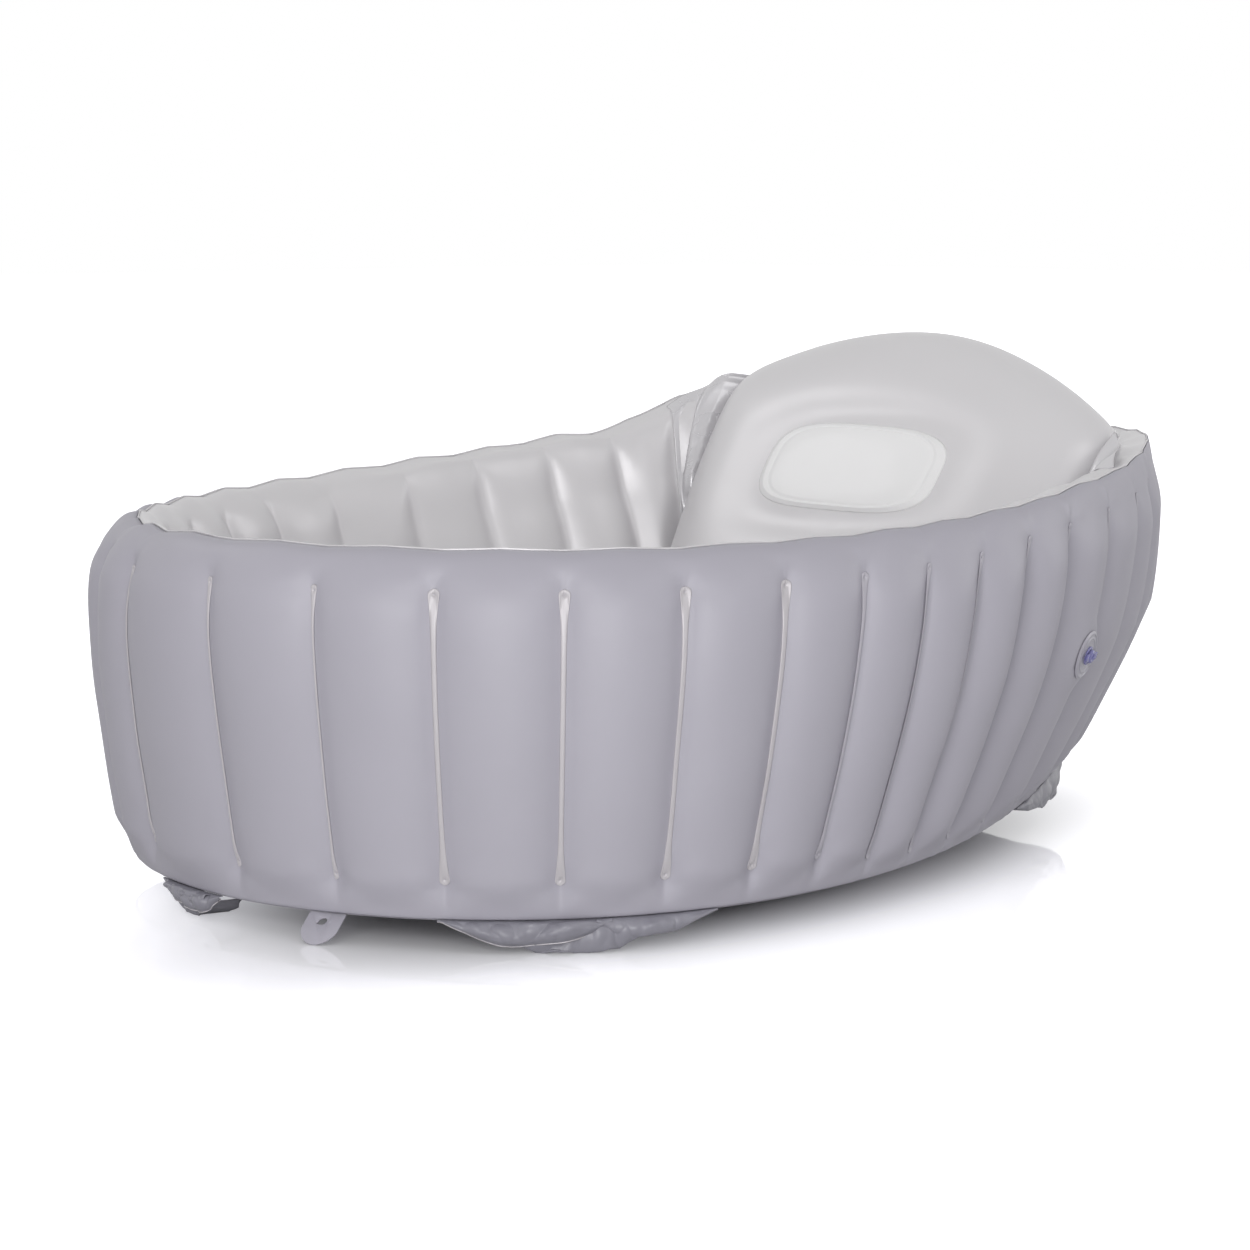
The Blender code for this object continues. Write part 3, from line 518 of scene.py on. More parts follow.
GREY = vinyl("grey_violet_film", (0.400, 0.387, 0.440), 0.50, grain=0.5)
# Painted shade: the skirt is the wall's grey-violet film, darkened to stand in for the shadow under the wall.
SKIRT_SHADED_GREY = vinyl("grey_skirt_film_painted_shade", (0.240, 0.235, 0.272), 0.38, cloud=0.2, grain=0.5)
PEARL = vinyl("pearl_film", (0.655, 0.642, 0.658), 0.38, Metallic=0.18, Coat_Weight=0.15, Coat_Roughness=0.24)
SLACK = vinyl("slack_pearl_film", (0.580, 0.570, 0.590), 0.28, cloud=0.12, Metallic=0.25, Coat_Weight=0.3)
WELD = vinyl("weld_strip_film", (0.500, 0.478, 0.500), 0.40, cloud=0.1, Metallic=0.1)
CREASE = vinyl("rib_crease_film", (0.430, 0.415, 0.460), 0.45)
PANEL = vinyl("bare_panel_film", (0.890, 0.886, 0.890), 0.42, Coat_Weight=0.12)
CLEAR = vinyl("clear_grey_vinyl", (0.500, 0.485, 0.550), 0.30, Transmission_Weight=0.25, IOR=1.5)
VIOLET = vinyl("violet_vinyl", (0.330, 0.320, 0.640), 0.18, Transmission_Weight=0.45, IOR=1.5)
WHITE = vinyl("white_stopper_vinyl", (0.720, 0.720, 0.720), 0.40)


# Inflated wall
COLUMNS_PER_LOBE = 16
WALL_ROWS = 56


def lobe_place(share):
    """Columns crowd towards each weld, so that its crease stays sharp."""
    reach = share * len(RIB_PLACES)
    i = min(int(reach + 1e-6), len(RIB_PLACES) - 1)
    run = (1 - math.cos(math.pi * min(max(reach - i, 0), 1))) / 2
    low = RIB_PLACES[i]
    high = RIB_PLACES[i + 1] if i + 1 < len(RIB_PLACES) else RIB_PLACES[0] + 2
    place = low + (high - low) * run
    return place if place <= 1 else place - 2


def row_share(share):
    return (1 - math.cos(math.pi * share)) / 2


def make_wall_skins():
    columns = COLUMNS_PER_LOBE * len(RIB_PLACES)

    def outer_point(x, y):
        return wall_point(lobe_place(x), row_share(y), 1)

    def inner_point(x, y):
        return wall_point(lobe_place(1 - x), row_share(y), -1)

    outer = shaped_grid("wall_outer", columns, WALL_ROWS, outer_point, closed=True)
    film(outer)
    finish_piece(outer, GREY, "tub", "grey_film", "outer_wall_skin")
    inner = shaped_grid("wall_inner", columns, WALL_ROWS, inner_point, closed=True)
    film(inner)
    finish_piece(inner, PEARL, "tub", "pearl_film", "inner_wall_skin")


# Ribs
STRIP_PAD_HALF = 0.0037
STRIP_MIDDLE_HALF = 0.0018
STRIP_PROUD = 0.0011
INNER_STRIP_DEPTH = 0.0010
INNER_NARROWNESS = 0.8
PIN_FROM_END = 0.0042
PIN_RADIUS = 0.0010
PIN_DEPTH = 0.0015
WEB_LOW = 0.10
WEB_REACH = 0.78
WEB_INSET = 0.0012
WEB_FILM = 0.0005
PALE_STRIPS_END = 0.36


def strip_narrowness(place, side):
    """0 for the widest strips, beside the middle of the near side, and 1 for the narrowest."""
    if side < 0:
        return INNER_NARROWNESS
    return max(ramp(abs(place), 0.34, 0.08), 1 - ramp(place, 0.09, 0.04))


def weld_half_width(run, length, narrow):
    """The strip is narrow in the middle, and each end widens to a round pad."""
    from_end = min(run, 1 - run) * length
    pad = STRIP_PAD_HALF * (1 - 0.45 * narrow)
    middle = STRIP_MIDDLE_HALF * (1 - 0.55 * narrow)
    if from_end < pad:
        return math.sqrt(max(pad ** 2 - (pad - from_end) ** 2, 0))
    return middle + (pad - middle) * math.exp(-((from_end - pad) / 0.015) ** 1.3)


def strip_point(place, across, run, side, proud):
    """A point of a weld strip that follows the film of one side."""
    low, top = weld_ends(place)
    length = (top - low) * WALL_HEIGHT
    share = low + (top - low) * run
    half = weld_half_width(run, length, strip_narrowness(place, side))
    offset = across * half
    point = wall_point(place + offset / GIRTH, share, side)
    edge = 1 - abs(across) ** 4
    pin = 0
    for centre in (PIN_FROM_END, length - PIN_FROM_END):
        away = math.hypot(offset, run * length - centre)
        pin += bell(away / PIN_RADIUS)
    rise = proud * (0.35 + 0.65 * edge) - PIN_DEPTH * pin
    return point + outward(turn_at(rib_lean(place, share))) * side * rise


def make_web(name, node, place):
    """A rib: the strip on the outside, the strip hidden in the inner crease, and the web between them."""
    def outer_strip(x, y):
        return strip_point(place, 2 * x - 1, row_share(y), 1, STRIP_PROUD)

    def inner_strip(x, y):
        return strip_point(place, 1 - 2 * x, row_share(y), -1, -INNER_STRIP_DEPTH)

    def web(x, y):
        share = WEB_LOW + WEB_REACH * y
        inset = outward(turn_at(rib_lean(place, share))) * WEB_INSET
        outer, inner = wall_point(place, share, 1) - inset, wall_point(place, share, -1) + inset
        return outer.lerp(inner, x)

    join([
        shaped_grid(name + "_outer_strip", 14, 90, outer_strip),
        shaped_grid(name + "_inner_strip", 6, 40, inner_strip),
        shaped_grid(name + "_web", 2, 12, web),
    ])
    piece = name_piece(name)
    film(piece, WEB_FILM)
    finish_piece(piece, WELD if place < PALE_STRIPS_END else CREASE, "tub", "pearl_film", node)


def make_webs():
    for i, (near, far) in enumerate(zip(NEAR_RIBS, FAR_RIBS)):
        make_web(f"rib_near_{i + 1:02d}", f"wall_web_near_{i + 1:02d}", near)
        make_web(f"rib_far_{i + 1:02d}", f"wall_web_far_{i + 1:02d}", -far)


LIP_FILM = 0.0007


def make_crest_seam():
    """The thin welded lip that runs round the crest."""
    def put(x, y):
        place = 2 * x - 1
        turn = turn_at(place)
        foot = wall_point(place, 1, 1) - outward(turn) * SEAM_HALF
        lean = 0.0005 * noise.noise(Vector((place * 40, 0, 2)))
        return foot + Vector((0, 0, -0.0004 + 0.0014 * y)) + outward(turn) * lean * y

    lip = shaped_grid("crest_seam", 480, 3, put, closed=True)
    film(lip, LIP_FILM)
    finish_piece(lip, PEARL, "tub", "pearl_film")


# Floor cushion and base sheet
FLOOR_INSET = 0.00175
FLOOR_TOP = 0.0600
FLOOR_WELD_Y = 0.062
FLOOR_WELD_DEPTH = 0.0085
FLOOR_WELD_MIDDLE_X = -0.09
FLOOR_WELD_HALF = 0.30
BASE_RINGS = (1.0, 0.90, 0.78, 0.62, 0.30, 0.0)
BASE_DROPS = (0.0, 0.22, 0.55, 1.0, 1.0, 1.0)


def floor_ring(place, ring):
    turn = turn_at(place)
    rim = base(turn)
    middle = Vector((BASE_SHIFT + SHIFT.x, SHIFT.y, 0))
    flat = Vector((rim.x, rim.y, 0)) - middle
    flat -= flat.normalized() * FLOOR_INSET
    return middle + flat * ring, rim.z


def make_floor_cushion():
    """The cushion's top skin, quilted by two long welds."""
    def put(x, y):
        place, ring = 2 * x - 1, 1 - row_share(y) ** 0.9
        spot, rim = floor_ring(place, ring)
        rise = smooth((1 - ring) / 0.20)
        within = smooth((FLOOR_WELD_HALF - abs(spot.x - FLOOR_WELD_MIDDLE_X)) / 0.03)
        dip = FLOOR_WELD_DEPTH * hump(abs(spot.y), FLOOR_WELD_Y, 0.010) * within
        wave = 0.0010 * noise.noise(spot * 9) * (1 - ring)
        return Vector((spot.x, spot.y, rim + (FLOOR_TOP - rim) * rise - dip * rise + wave - 0.0006 * rise))

    skin = shaped_grid("floor_cushion", 240, 40, put, closed=True)
    film(skin)
    cut_round(skin, (DRAIN_X, 0, FLOOR_TOP), DRAIN_HOLE)
    cut_round(skin, FLOOR_VALVE_CUT, FLOOR_VALVE_HOLE)
    finish_piece(skin, PEARL, "tub", "pearl_film", "floor_cushion_skin")


def make_base_sheet():
    """The underside: it drops from the base seam to the floor, and lies flat on it."""
    def put(x, y):
        ring, drop = through(list(zip(BASE_RINGS, BASE_DROPS)), y)
        spot, rim = floor_ring(1 - 2 * x, max(ring, 0))
        pucker = 0.0012 * noise.noise(spot * 22) * (1 - ramp(drop, 0.7, 0.3))
        pucker *= smooth((1 - ring) / 0.05)
        return Vector((spot.x, spot.y, max((rim - 0.0011) * (1 - min(max(drop, 0), 1)) + pucker, 0)))

    sheet = shaped_grid("base_underside", 240, 40, put, closed=True)
    film(sheet)
    cut_round(sheet, (DRAIN_X, 0, 0), DRAIN_HOLE)
    finish_piece(sheet, GREY, "tub", "grey_film", "base_sheet")


# Backrest cushion
SEAT = SHIFT + Vector((0.053, 0, 0.0607))
CREST_TOP = SHIFT + Vector((0.266, 0, 0.381))
ALONG = (CREST_TOP - SEAT).normalized()
FRONT = Vector((-ALONG.z, 0, ALONG.x))
LENGTH = (CREST_TOP - SEAT).length
HALF_WIDTH = 0.195
SEAM_TWIST = 0.018
SEAM_BACK = 0.018
CUSHION_MIDDLE = Vector((0, 0.45))
CUSHION_COLUMNS = 288
CUSHION_ROWS = 64
FRONT_DEPTH = 0.0368
BACK_DEPTH = 0.1195
BACK_FALL = 0.35
WELD_EDGE_HALF = 0.0005
FACE_START = 0.004
PANEL_HALF_WIDTH = 0.090
PANEL_HALF_HEIGHT = 0.0400
PANEL_POWER = 3.4
PANEL_LIFT = 0.0009
PANEL_ALONG = 0.625
PANEL_TILT = 0.026
OUTLINE = (
    (0.0, 0.0), (0.28, 0.0), (0.52, 0.004), (0.72, 0.035), (0.83, 0.12), (0.88, 0.27), (0.92, 0.43),
    (0.957, 0.58), (0.988, 0.69), (1.005, 0.765), (0.995, 0.828), (0.925, 0.874), (0.79, 0.915),
    (0.61, 0.957), (0.40, 0.992), (0.20, 1.014), (0.0, 1.022),
)


def outline_point(run):
    """The cushion's seam: across and along, from the bottom middle round the +Y side first."""
    mirrored = run > 0.5
    points = [(-0.28, 0.0), *OUTLINE, (-0.20, 1.014)]
    share = (1 - run) * 2 if mirrored else run * 2
    reach = (1 + share * (len(OUTLINE) - 1)) / (len(points) - 1)
    across, along = through(points, reach)
    return Vector((-across if mirrored else across, along))


def seam_point(across, along, forward=0.0):
    """A point of the cushion's plane, which twists a little towards the top."""
    twist = SEAM_TWIST * across * along
    return SEAT + ALONG * (along * LENGTH) + Vector((0, across * HALF_WIDTH, twist)) + FRONT * forward


def seam_back(along):
    """Near the top the seam lies further back, so that the front curves over it."""
    return SEAM_BACK * ramp(along, 0.55, 0.35)


def seam_at(across, along):
    return seam_point(across, along, -seam_back(along))


def cushion_point(run, ring, front):
    """A point of the crowned front or back half. The ring is 1 at the seam and 0 in the middle."""
    spot = CUSHION_MIDDLE + (outline_point(run) - CUSHION_MIDDLE) * ring
    back = seam_back(spot.y) * ring ** 8
    if front:
        crown = FRONT_DEPTH * max(1 - ring ** 3, 0) ** 0.45
        return seam_point(spot.x, spot.y, crown + WELD_EDGE_HALF - back)
    swell = BACK_DEPTH * max(1 - ring ** 2.5, 0) ** 0.58
    backwards = Vector((1, 0, -BACK_FALL * max(spot.y, 0)))
    return seam_point(spot.x, spot.y, -WELD_EDGE_HALF - back) + backwards * swell


def dish(across, along):
    """The shallow dish that the panel's weld presses into the cushion."""
    x = across * HALF_WIDTH / 0.100
    y = (along - PANEL_ALONG + PANEL_TILT * across) * LENGTH / 0.050
    away = (abs(x) ** 3 + abs(y) ** 3) ** (1 / 3)
    return 0.0040 * hump(away, 1.02, 0.30) + 0.0012 * smooth(1.1 - away)


def make_cushion():
    """One closed cushion: a flat weld edge all round, and a crowned front and back."""
    def half(name, front):
        def put(x, y):
            ring = math.cos(math.pi / 2 * y) ** 0.75 if y < 1 else 0
            return cushion_point(x if front else 1 - x, ring, front)

        piece = shaped_grid(name, CUSHION_COLUMNS, CUSHION_ROWS, put)
        free = piece.vertex_groups.new(name="free")
        for i in range(len(piece.data.vertices)):
            free.add([i], smooth(i // (CUSHION_COLUMNS + 1) / CUSHION_ROWS / 0.16), "REPLACE")
        edit(piece)
        bpy.ops.mesh.remove_doubles(threshold=0.00002)
        leave_edit()
        return piece

    cushion, back = half("backrest_cushion", True), half("backrest_cushion_back", False)
    join([cushion, back])
    edit(cushion)
    bpy.ops.mesh.select_all(action="DESELECT")
    bpy.ops.mesh.select_non_manifold()
    bpy.ops.mesh.bridge_edge_loops()
    bpy.ops.mesh.select_all(action="SELECT")
    bpy.ops.mesh.normals_make_consistent(inside=False)
    leave_edit()
    apply_modifier(cushion, "SMOOTH", factor=0.5, iterations=90, vertex_group="free")
    for point in cushion.data.vertices:
        reach = point.co - SEAT
        along, across, forward = reach.dot(ALONG) / LENGTH, reach.y / HALF_WIDTH, reach.dot(FRONT)
        if forward > FACE_START:
            point.co -= FRONT * dish(across, along) * ramp(forward, FACE_START, 0.010)
            point.co += FRONT * 0.0009 * noise.noise(Vector((across * 2.4, along * 2.6, 5)))
        elif forward < -FACE_START:
            point.co = valve_pad(point.co, BACKREST_VALVE)
    finish_piece(cushion, PEARL, "tub", "pearl_film", "backrest_front_skin", "backrest_back_skin")
    return cushion


def make_cushion_seam():
    """The flat welded edge that stands out of the cushion's seam, hidden towards the top."""
    def put(x, y):
        edge = outline_point(x)
        out = (edge - CUSHION_MIDDLE).normalized()
        wide = -0.020 + (0.020 + 0.018 * (1 - ramp(edge.y, 0.76, 0.08))) * y
        wave = 0.0006 * noise.noise(Vector((edge.x * 14, edge.y * 14, 3)))
        return seam_at(edge.x + out.x * wide, edge.y + out.y * wide) + FRONT * wave * y

    lip = shaped_grid("backrest_seam", CUSHION_COLUMNS, 3, put, closed=True)
    centred_film(lip, LIP_FILM)
    finish_piece(lip, PEARL, "tub", "pearl_film")


def make_panel(cushion):
    """The bare welded panel: a flat field, a raised bead round it and a flat weld edge outside the bead."""
    surface = bvhtree.BVHTree.FromPolygons(
        [point.co for point in cushion.data.vertices], [face.vertices for face in cushion.data.polygons])

    def put(x, y):
        turn, ring = 2 * math.pi * (1 - x), 1 - y
        px, py = plan_shares(turn, PANEL_POWER)
        across = px * ring * PANEL_HALF_WIDTH / HALF_WIDTH
        along = PANEL_ALONG + py * ring * PANEL_HALF_HEIGHT / LENGTH - PANEL_TILT * across
        hit = surface.ray_cast(seam_point(across, along, 0.09), -FRONT)[0]
        bead = 0.0021 * hump(ring, 0.925, 0.022) + 0.0010 * smooth((0.88 - ring) / 0.04)
        return hit + FRONT * (PANEL_LIFT + bead - 0.0010 * ramp(ring, 0.985, 0.015))

    panel = shaped_grid("backrest_badge_panel", 160, 48, put, closed=True)
    edit(panel)
    bpy.ops.mesh.remove_doubles(threshold=0.00002)
    leave_edit()
    film(panel, SLACK_FILM)
    finish_piece(panel, PANEL, "tub", "white_film", "backrest_panel")


# Slack film beside the cushion
GUSSET_RIB = 12
GUSSET_LOW = 0.34
GUSSET_REACH = 0.52
GUSSET_WALL_LOW = 0.45
GUSSET_WALL_REACH = 0.54
GUSSET_SLACK = 0.026
GUSSET_INSET = 0.0012


def make_gusset(name, side, node):
    """Film in loose folds between the cushion's seam and the wall's rib beside it."""
    rib = NEAR_RIBS[GUSSET_RIB] if side > 0 else -FAR_RIBS[GUSSET_RIB]

    def put(x, y):
        along = GUSSET_LOW + GUSSET_REACH * y
        half = max(outline_half(along), 0.5)
        start = seam_at(-side * (half + 0.004 + 0.004 * y), along)
        share = GUSSET_WALL_LOW + GUSSET_WALL_REACH * y
        end = wall_point(rib, share, -1) - outward(turn_at(rib)) * GUSSET_INSET
        mid = math.sin(math.pi * x)
        slant = x * 0.9 + y * 0.8
        folds = 0.0044 * math.sin(slant * 7.5 + 0.6) + 0.0012 * math.sin(slant * 17 + 1.1 * y)
        folds -= GUSSET_SLACK * smooth((0.60 - y) / 0.35)
        crumple = 0.0008 * noise.noise(Vector((x * 4, y * 5, side * 4)))
        peak = 0.010 * ramp(y, 0.6, 0.4) * mid
        return start.lerp(end, x) + FRONT * (folds + crumple) * min(mid * 1.4, 1) + Vector((0, 0, peak))

    sheet = shaped_grid(name, 60, 90, put)
    centred_film(sheet, SLACK_FILM)
    finish_piece(sheet, SLACK, "tub", "pearl_film", node)


def outline_half(along):
    """The cushion's half width at a height, as a share."""
    best = 0
    for i in range(49):
        point = outline_point(0.5 * i / 48)
        if abs(point.y - along) < 0.03:
            best = max(best, point.x)
    return best


# Skirt
SKIRT_COLUMNS = 150
SKIRT_FILM = 0.0007
CUT_EDGE_FILM = 0.0018
CUT_EDGE_START = 0.965
JUST_ABOVE_FLOOR = 0.0006


def skirt_layer(name, low_place, high_place, falls, bulge, depth, seed):
    """Film that hangs from the base seam. The falls are how far its lower edge comes down to the floor."""
    def put(x, y):
        place = low_place + (high_place - low_place) * x
        turn = turn_at(place)
        rim, out = base(turn), outward(turn)
        fall = min(max(through([(value,) for value in falls], x)[0], 0.03), 1)
        hang = rim.z - 0.0008
        low = max(hang * (1 - fall), JUST_ABOVE_FLOOR)
        drop, swell = hang - low, bulge * math.sqrt(fall)
        path = [(0.0004, hang), (0.60 * swell, hang - 0.12 * drop), (swell, hang - 0.45 * drop),
                (0.90 * swell, hang - 0.78 * drop), (0.55 * swell, low)]
        if depth:
            path += [(0.1 * swell, low), (-0.4 * depth, low), (-depth, low)]
        reach, height = through(path, y)
        loose = smooth(y / 0.30) * math.sqrt(fall)
        crease = abs(noise.noise(Vector((x * 5 + seed, y * 1.1 + x * 1.5, seed))))
        crease += 0.25 * abs(noise.noise(Vector((x * 12, y * 2.2 - x * 4, seed))))
        height += 0.0060 * (crease - 0.2) * loose * math.sin(math.pi * min(y, 1))
        height = max(height, JUST_ABOVE_FLOOR)
        reach += (0.0085 * crease - 0.0015) * loose
        return Vector((rim.x, rim.y, 0)) + out * reach + Vector((0, 0, height))

    return shaped_grid(name, SKIRT_COLUMNS, 40, put), put


def make_skirt(name, node, layers, hem_layer=None):
    """Loose film in layers, in a darker grey that is painted shade, with a pale strip along the front layer's
    cut edge that is a painted highlight.
    """
    sheets = []
    for i, layer in enumerate(layers):
        sheet, put = skirt_layer(f"{name}_{i}", *layer)
        sheets.append(sheet)
        if i == hem_layer:
            def along_edge(x, y, put=put):
                return put(x, CUT_EDGE_START + 0.035 * y)

            # Painted highlight: a pale weld-coloured strip stands in for the cut edge catching the light.
            lip = shaped_grid(name + "_cut_edge_highlight", SKIRT_COLUMNS, 2, along_edge)
            centred_film(lip, CUT_EDGE_FILM)
            finish_piece(lip, WELD, "tub", "grey_film")
    join(sheets)
    sheet = name_piece(name)
    centred_film(sheet, SKIRT_FILM)
    # The skirt takes the darkened grey: painted shade for the shadow the wall casts on it.
    finish_piece(sheet, SKIRT_SHADED_GREY, "tub", "grey_film", node)


# Hanging tab
TAB_HINGE = Vector((-0.42257, -0.09104, 0.01831))
TAB_X = Vector((0.31795, -0.94811, 0.0))
TAB_Z = Vector((-0.62193, -0.20857, 0.75478))
TAB_RADIUS = 0.014
TAB_CENTRE = -0.0128
TAB_FILM = 0.0009
TAB_HOLES = ((0, -0.0085, 0.0032), (-0.0024, -0.0102, 0.0013))


def make_tab():
    """A strip with a round end, a punched hole with a notch, a soft curl and rounded edges."""
    bpy.ops.mesh.primitive_cylinder_add(
        vertices=64, radius=TAB_RADIUS, depth=TAB_FILM, location=(0, TAB_CENTRE, 0))
    tab = name_piece("hanging_tab_film")
    only(tab)
    bpy.ops.object.transform_apply(location=True, rotation=True, scale=True)
    for point in tab.data.vertices:
        if point.co.y > TAB_CENTRE + 0.0001:
            point.co.y = 0
    for x, y, radius in TAB_HOLES:
        cut_round(tab, (x, y, 0), radius)
    rounded(tab, 0.00025, 0.8)
    for point in tab.data.vertices:
        drop = min(-point.co.y / 0.027, 1)
        point.co.z += 0.0016 * math.sin(math.pi * drop) * math.cos(point.co.x * 90) - 0.0003
    tab.data.transform(frame_of(TAB_HINGE, TAB_X, TAB_Z))
    finish_piece(tab, GREY, "hanging_tab", "grey_film", "hanging_tab")


# Turned and pressed valve pieces
def turned(name, profile, steps=72):
    """A profile of (radius, height) points drawn by extrusion and spun round the axis."""
    start = profile[0]
    bpy.ops.mesh.primitive_plane_add(size=0.001, location=(start[0], 0, start[1]))
    piece = name_piece(name)
    edit(piece)
    bpy.ops.mesh.merge(type="CENTER")
    for a, b in zip(profile, profile[1:]):
        bpy.ops.mesh.extrude_region_move(TRANSFORM_OT_translate={"value": (b[0] - a[0], 0, b[1] - a[1])})
    bpy.ops.mesh.select_all(action="SELECT")
    bpy.ops.mesh.spin(steps=steps, angle=2 * math.pi, center=(0, 0, 0), axis=(0, 0, 1))
    bpy.ops.mesh.select_all(action="SELECT")
    bpy.ops.mesh.remove_doubles(threshold=0.00001)
    bpy.ops.mesh.normals_make_consistent(inside=False)
    leave_edit()
    only(piece)
    bpy.ops.object.transform_apply(location=True, rotation=True, scale=True)
    rounded(piece, 0.00014, 0.7)
    return piece


def make_valve_body(name, matrix, flange, tube, length, bore, node):
    """A welded flange with two pressed rings and a collar round the tube."""
    r = flange / 2
    profile = [
        (bore, 0.0013), (bore + 0.0009, 0.0016), (bore + 0.0016, 0.0013), (r * 0.66, 0.0012),
        (r * 0.69, 0.0017), (r * 0.73, 0.0017), (r * 0.76, 0.0011), (r * 0.85, 0.0010),
        (r * 0.88, 0.0015), (r * 0.93, 0.0014), (r * 0.96, 0.0008), (r, 0.0004), (r, 0.0),
        (tube, -0.0002), (tube, -length), (bore, -length), (bore, 0.0013),
    ]
    piece = turned(name, profile)
    piece.data.transform(matrix)
    finish_piece(piece, CLEAR, "tub", "clear_vinyl", node)


def make_plug(name, matrix, body, seat, shank, length, node):
    """A plug with a ringed head and a ribbed pull wing on each side."""
    profile = [
        (0, seat + 0.0013), (0.0022, seat + 0.0013), (0.0029, seat + 0.0024), (0.0040, seat + 0.0026),
        (0.0049, seat + 0.0017), (0.0050, seat), (shank, seat), (shank, seat - length * 0.55),
        (shank + 0.00008, seat - length * 0.7), (shank * 0.8, seat - length), (0, seat - length),
    ]
    head = turned(name, profile)
    bpy.ops.mesh.primitive_cube_add(size=1, location=(0, 0, seat + 0.0010))
    wings = name_piece(name + "_wings")
    wings.scale = (0.0208, 0.0068, 0.0012)
    bpy.ops.object.transform_apply(location=True, rotation=True, scale=True)
    edit(wings)
    bpy.ops.mesh.subdivide(number_cuts=9)
    leave_edit()
    for point in wings.data.vertices:
        share = abs(point.co.x) / 0.0104
        point.co.y *= 1.0 - 0.45 * share ** 3 + 0.12 * math.sin(share * 9)
        point.co.z += 0.0006 * share ** 2
        if point.co.z > seat + 0.0011 and share > 0.55:
            point.co.z += 0.00022 * math.cos(share * 60)
    rounded(wings, 0.0002, 0.9)
    join([head, wings])
    head.data.transform(matrix)
    finish_piece(head, VIOLET, body, "violet_vinyl", node)


def make_wall_valve():
    make_valve_body("wall_valve_flange", WALL_VALVE, 0.036, 0.0075, 0.016, 0.0057, "wall_valve_body")
    stem = turned("wall_valve_stem_tube", [
        (0.0034, 0.0025), (0.0044, 0.0030), (0.0064, 0.0029), (0.0070, 0.0024), (0.0070, 0.0016),
        (0.0055, 0.0015), (0.0055, -0.0142), (0.0034, -0.0142), (0.0034, 0.0025)])
    stem.data.transform(WALL_VALVE)
    finish_piece(stem, VIOLET, "wall_valve_stem", "violet_vinyl", "wall_valve_stem")
    flap = turned("wall_valve_flap_disc", [
        (0, -0.0147), (0.0030, -0.0147), (0.0041, -0.0148), (0.0041, -0.0151), (0, -0.0152)])
    flap.data.transform(WALL_VALVE)
    finish_piece(flap, CLEAR, "wall_valve_stem", "clear_vinyl", "wall_valve_flap")
    make_plug("wall_valve_stopper", WALL_VALVE, "wall_valve_plug", 0.0032, 0.0032, 0.009, "wall_valve_plug")


def make_small_valve(name, matrix):
    make_valve_body(name + "_flange", matrix, 0.030, 0.0055, 0.012, 0.0037, name + "_body")
    make_plug(name + "_stopper", matrix, name + "_plug", 0.0017, 0.0035, 0.009, name + "_plug")


def make_drain():
    matrix = Matrix.Translation((DRAIN_X, 0, 0))
    tube = turned("drain_tube", [
        (0.0095, 0.0612), (0.0105, 0.0617), (0.0140, 0.0615), (0.0150, 0.0619), (0.0170, 0.0619),
        (0.0180, 0.0614), (0.0210, 0.0610), (0.0220, 0.0603), (0.0120, 0.0603), (0.0120, 0.0010),
        (0.0095, 0.0010), (0.0095, 0.0612)])
    tube.data.transform(matrix)
    finish_piece(tube, CLEAR, "tub", "clear_vinyl", "drain_body")
    plug = turned("drain_stopper", [
        (0, 0.0712), (0.0028, 0.0712), (0.0044, 0.0704), (0.0045, 0.0672), (0.0058, 0.0650),
        (0.0110, 0.0644), (0.0131, 0.0640), (0.0135, 0.0630), (0.0135, 0.0618), (0.0094, 0.0618),
        (0.0094, 0.0560), (0.0087, 0.0478), (0, 0.0478)])
    plug.data.transform(matrix)
    finish_piece(plug, WHITE, "drain_plug", "white_film", "drain_plug")


# Studio
SOFTBOXES = (
    ("key_softbox", 1.8, 51, (-2.6, -1.9, 0.85), (0, 0, 0.2)),
    ("side_softbox", 1.2, 11, (2.4, -1.5, 1.0), (0, 0, 0.2)),
    ("right_softbox", 0.7, 4, (0.3, -1.9, 2.3), (0.25, -0.05, 0.3)),
    ("top_softbox", 2.4, 2.5, (0.2, 0.9, 2.8), (0, 0, 0.1)),
    ("sheen_softbox", 0.7, 4.5, (-0.75, 1.9, 2.0), (0.15, 0, 0.3)),
)


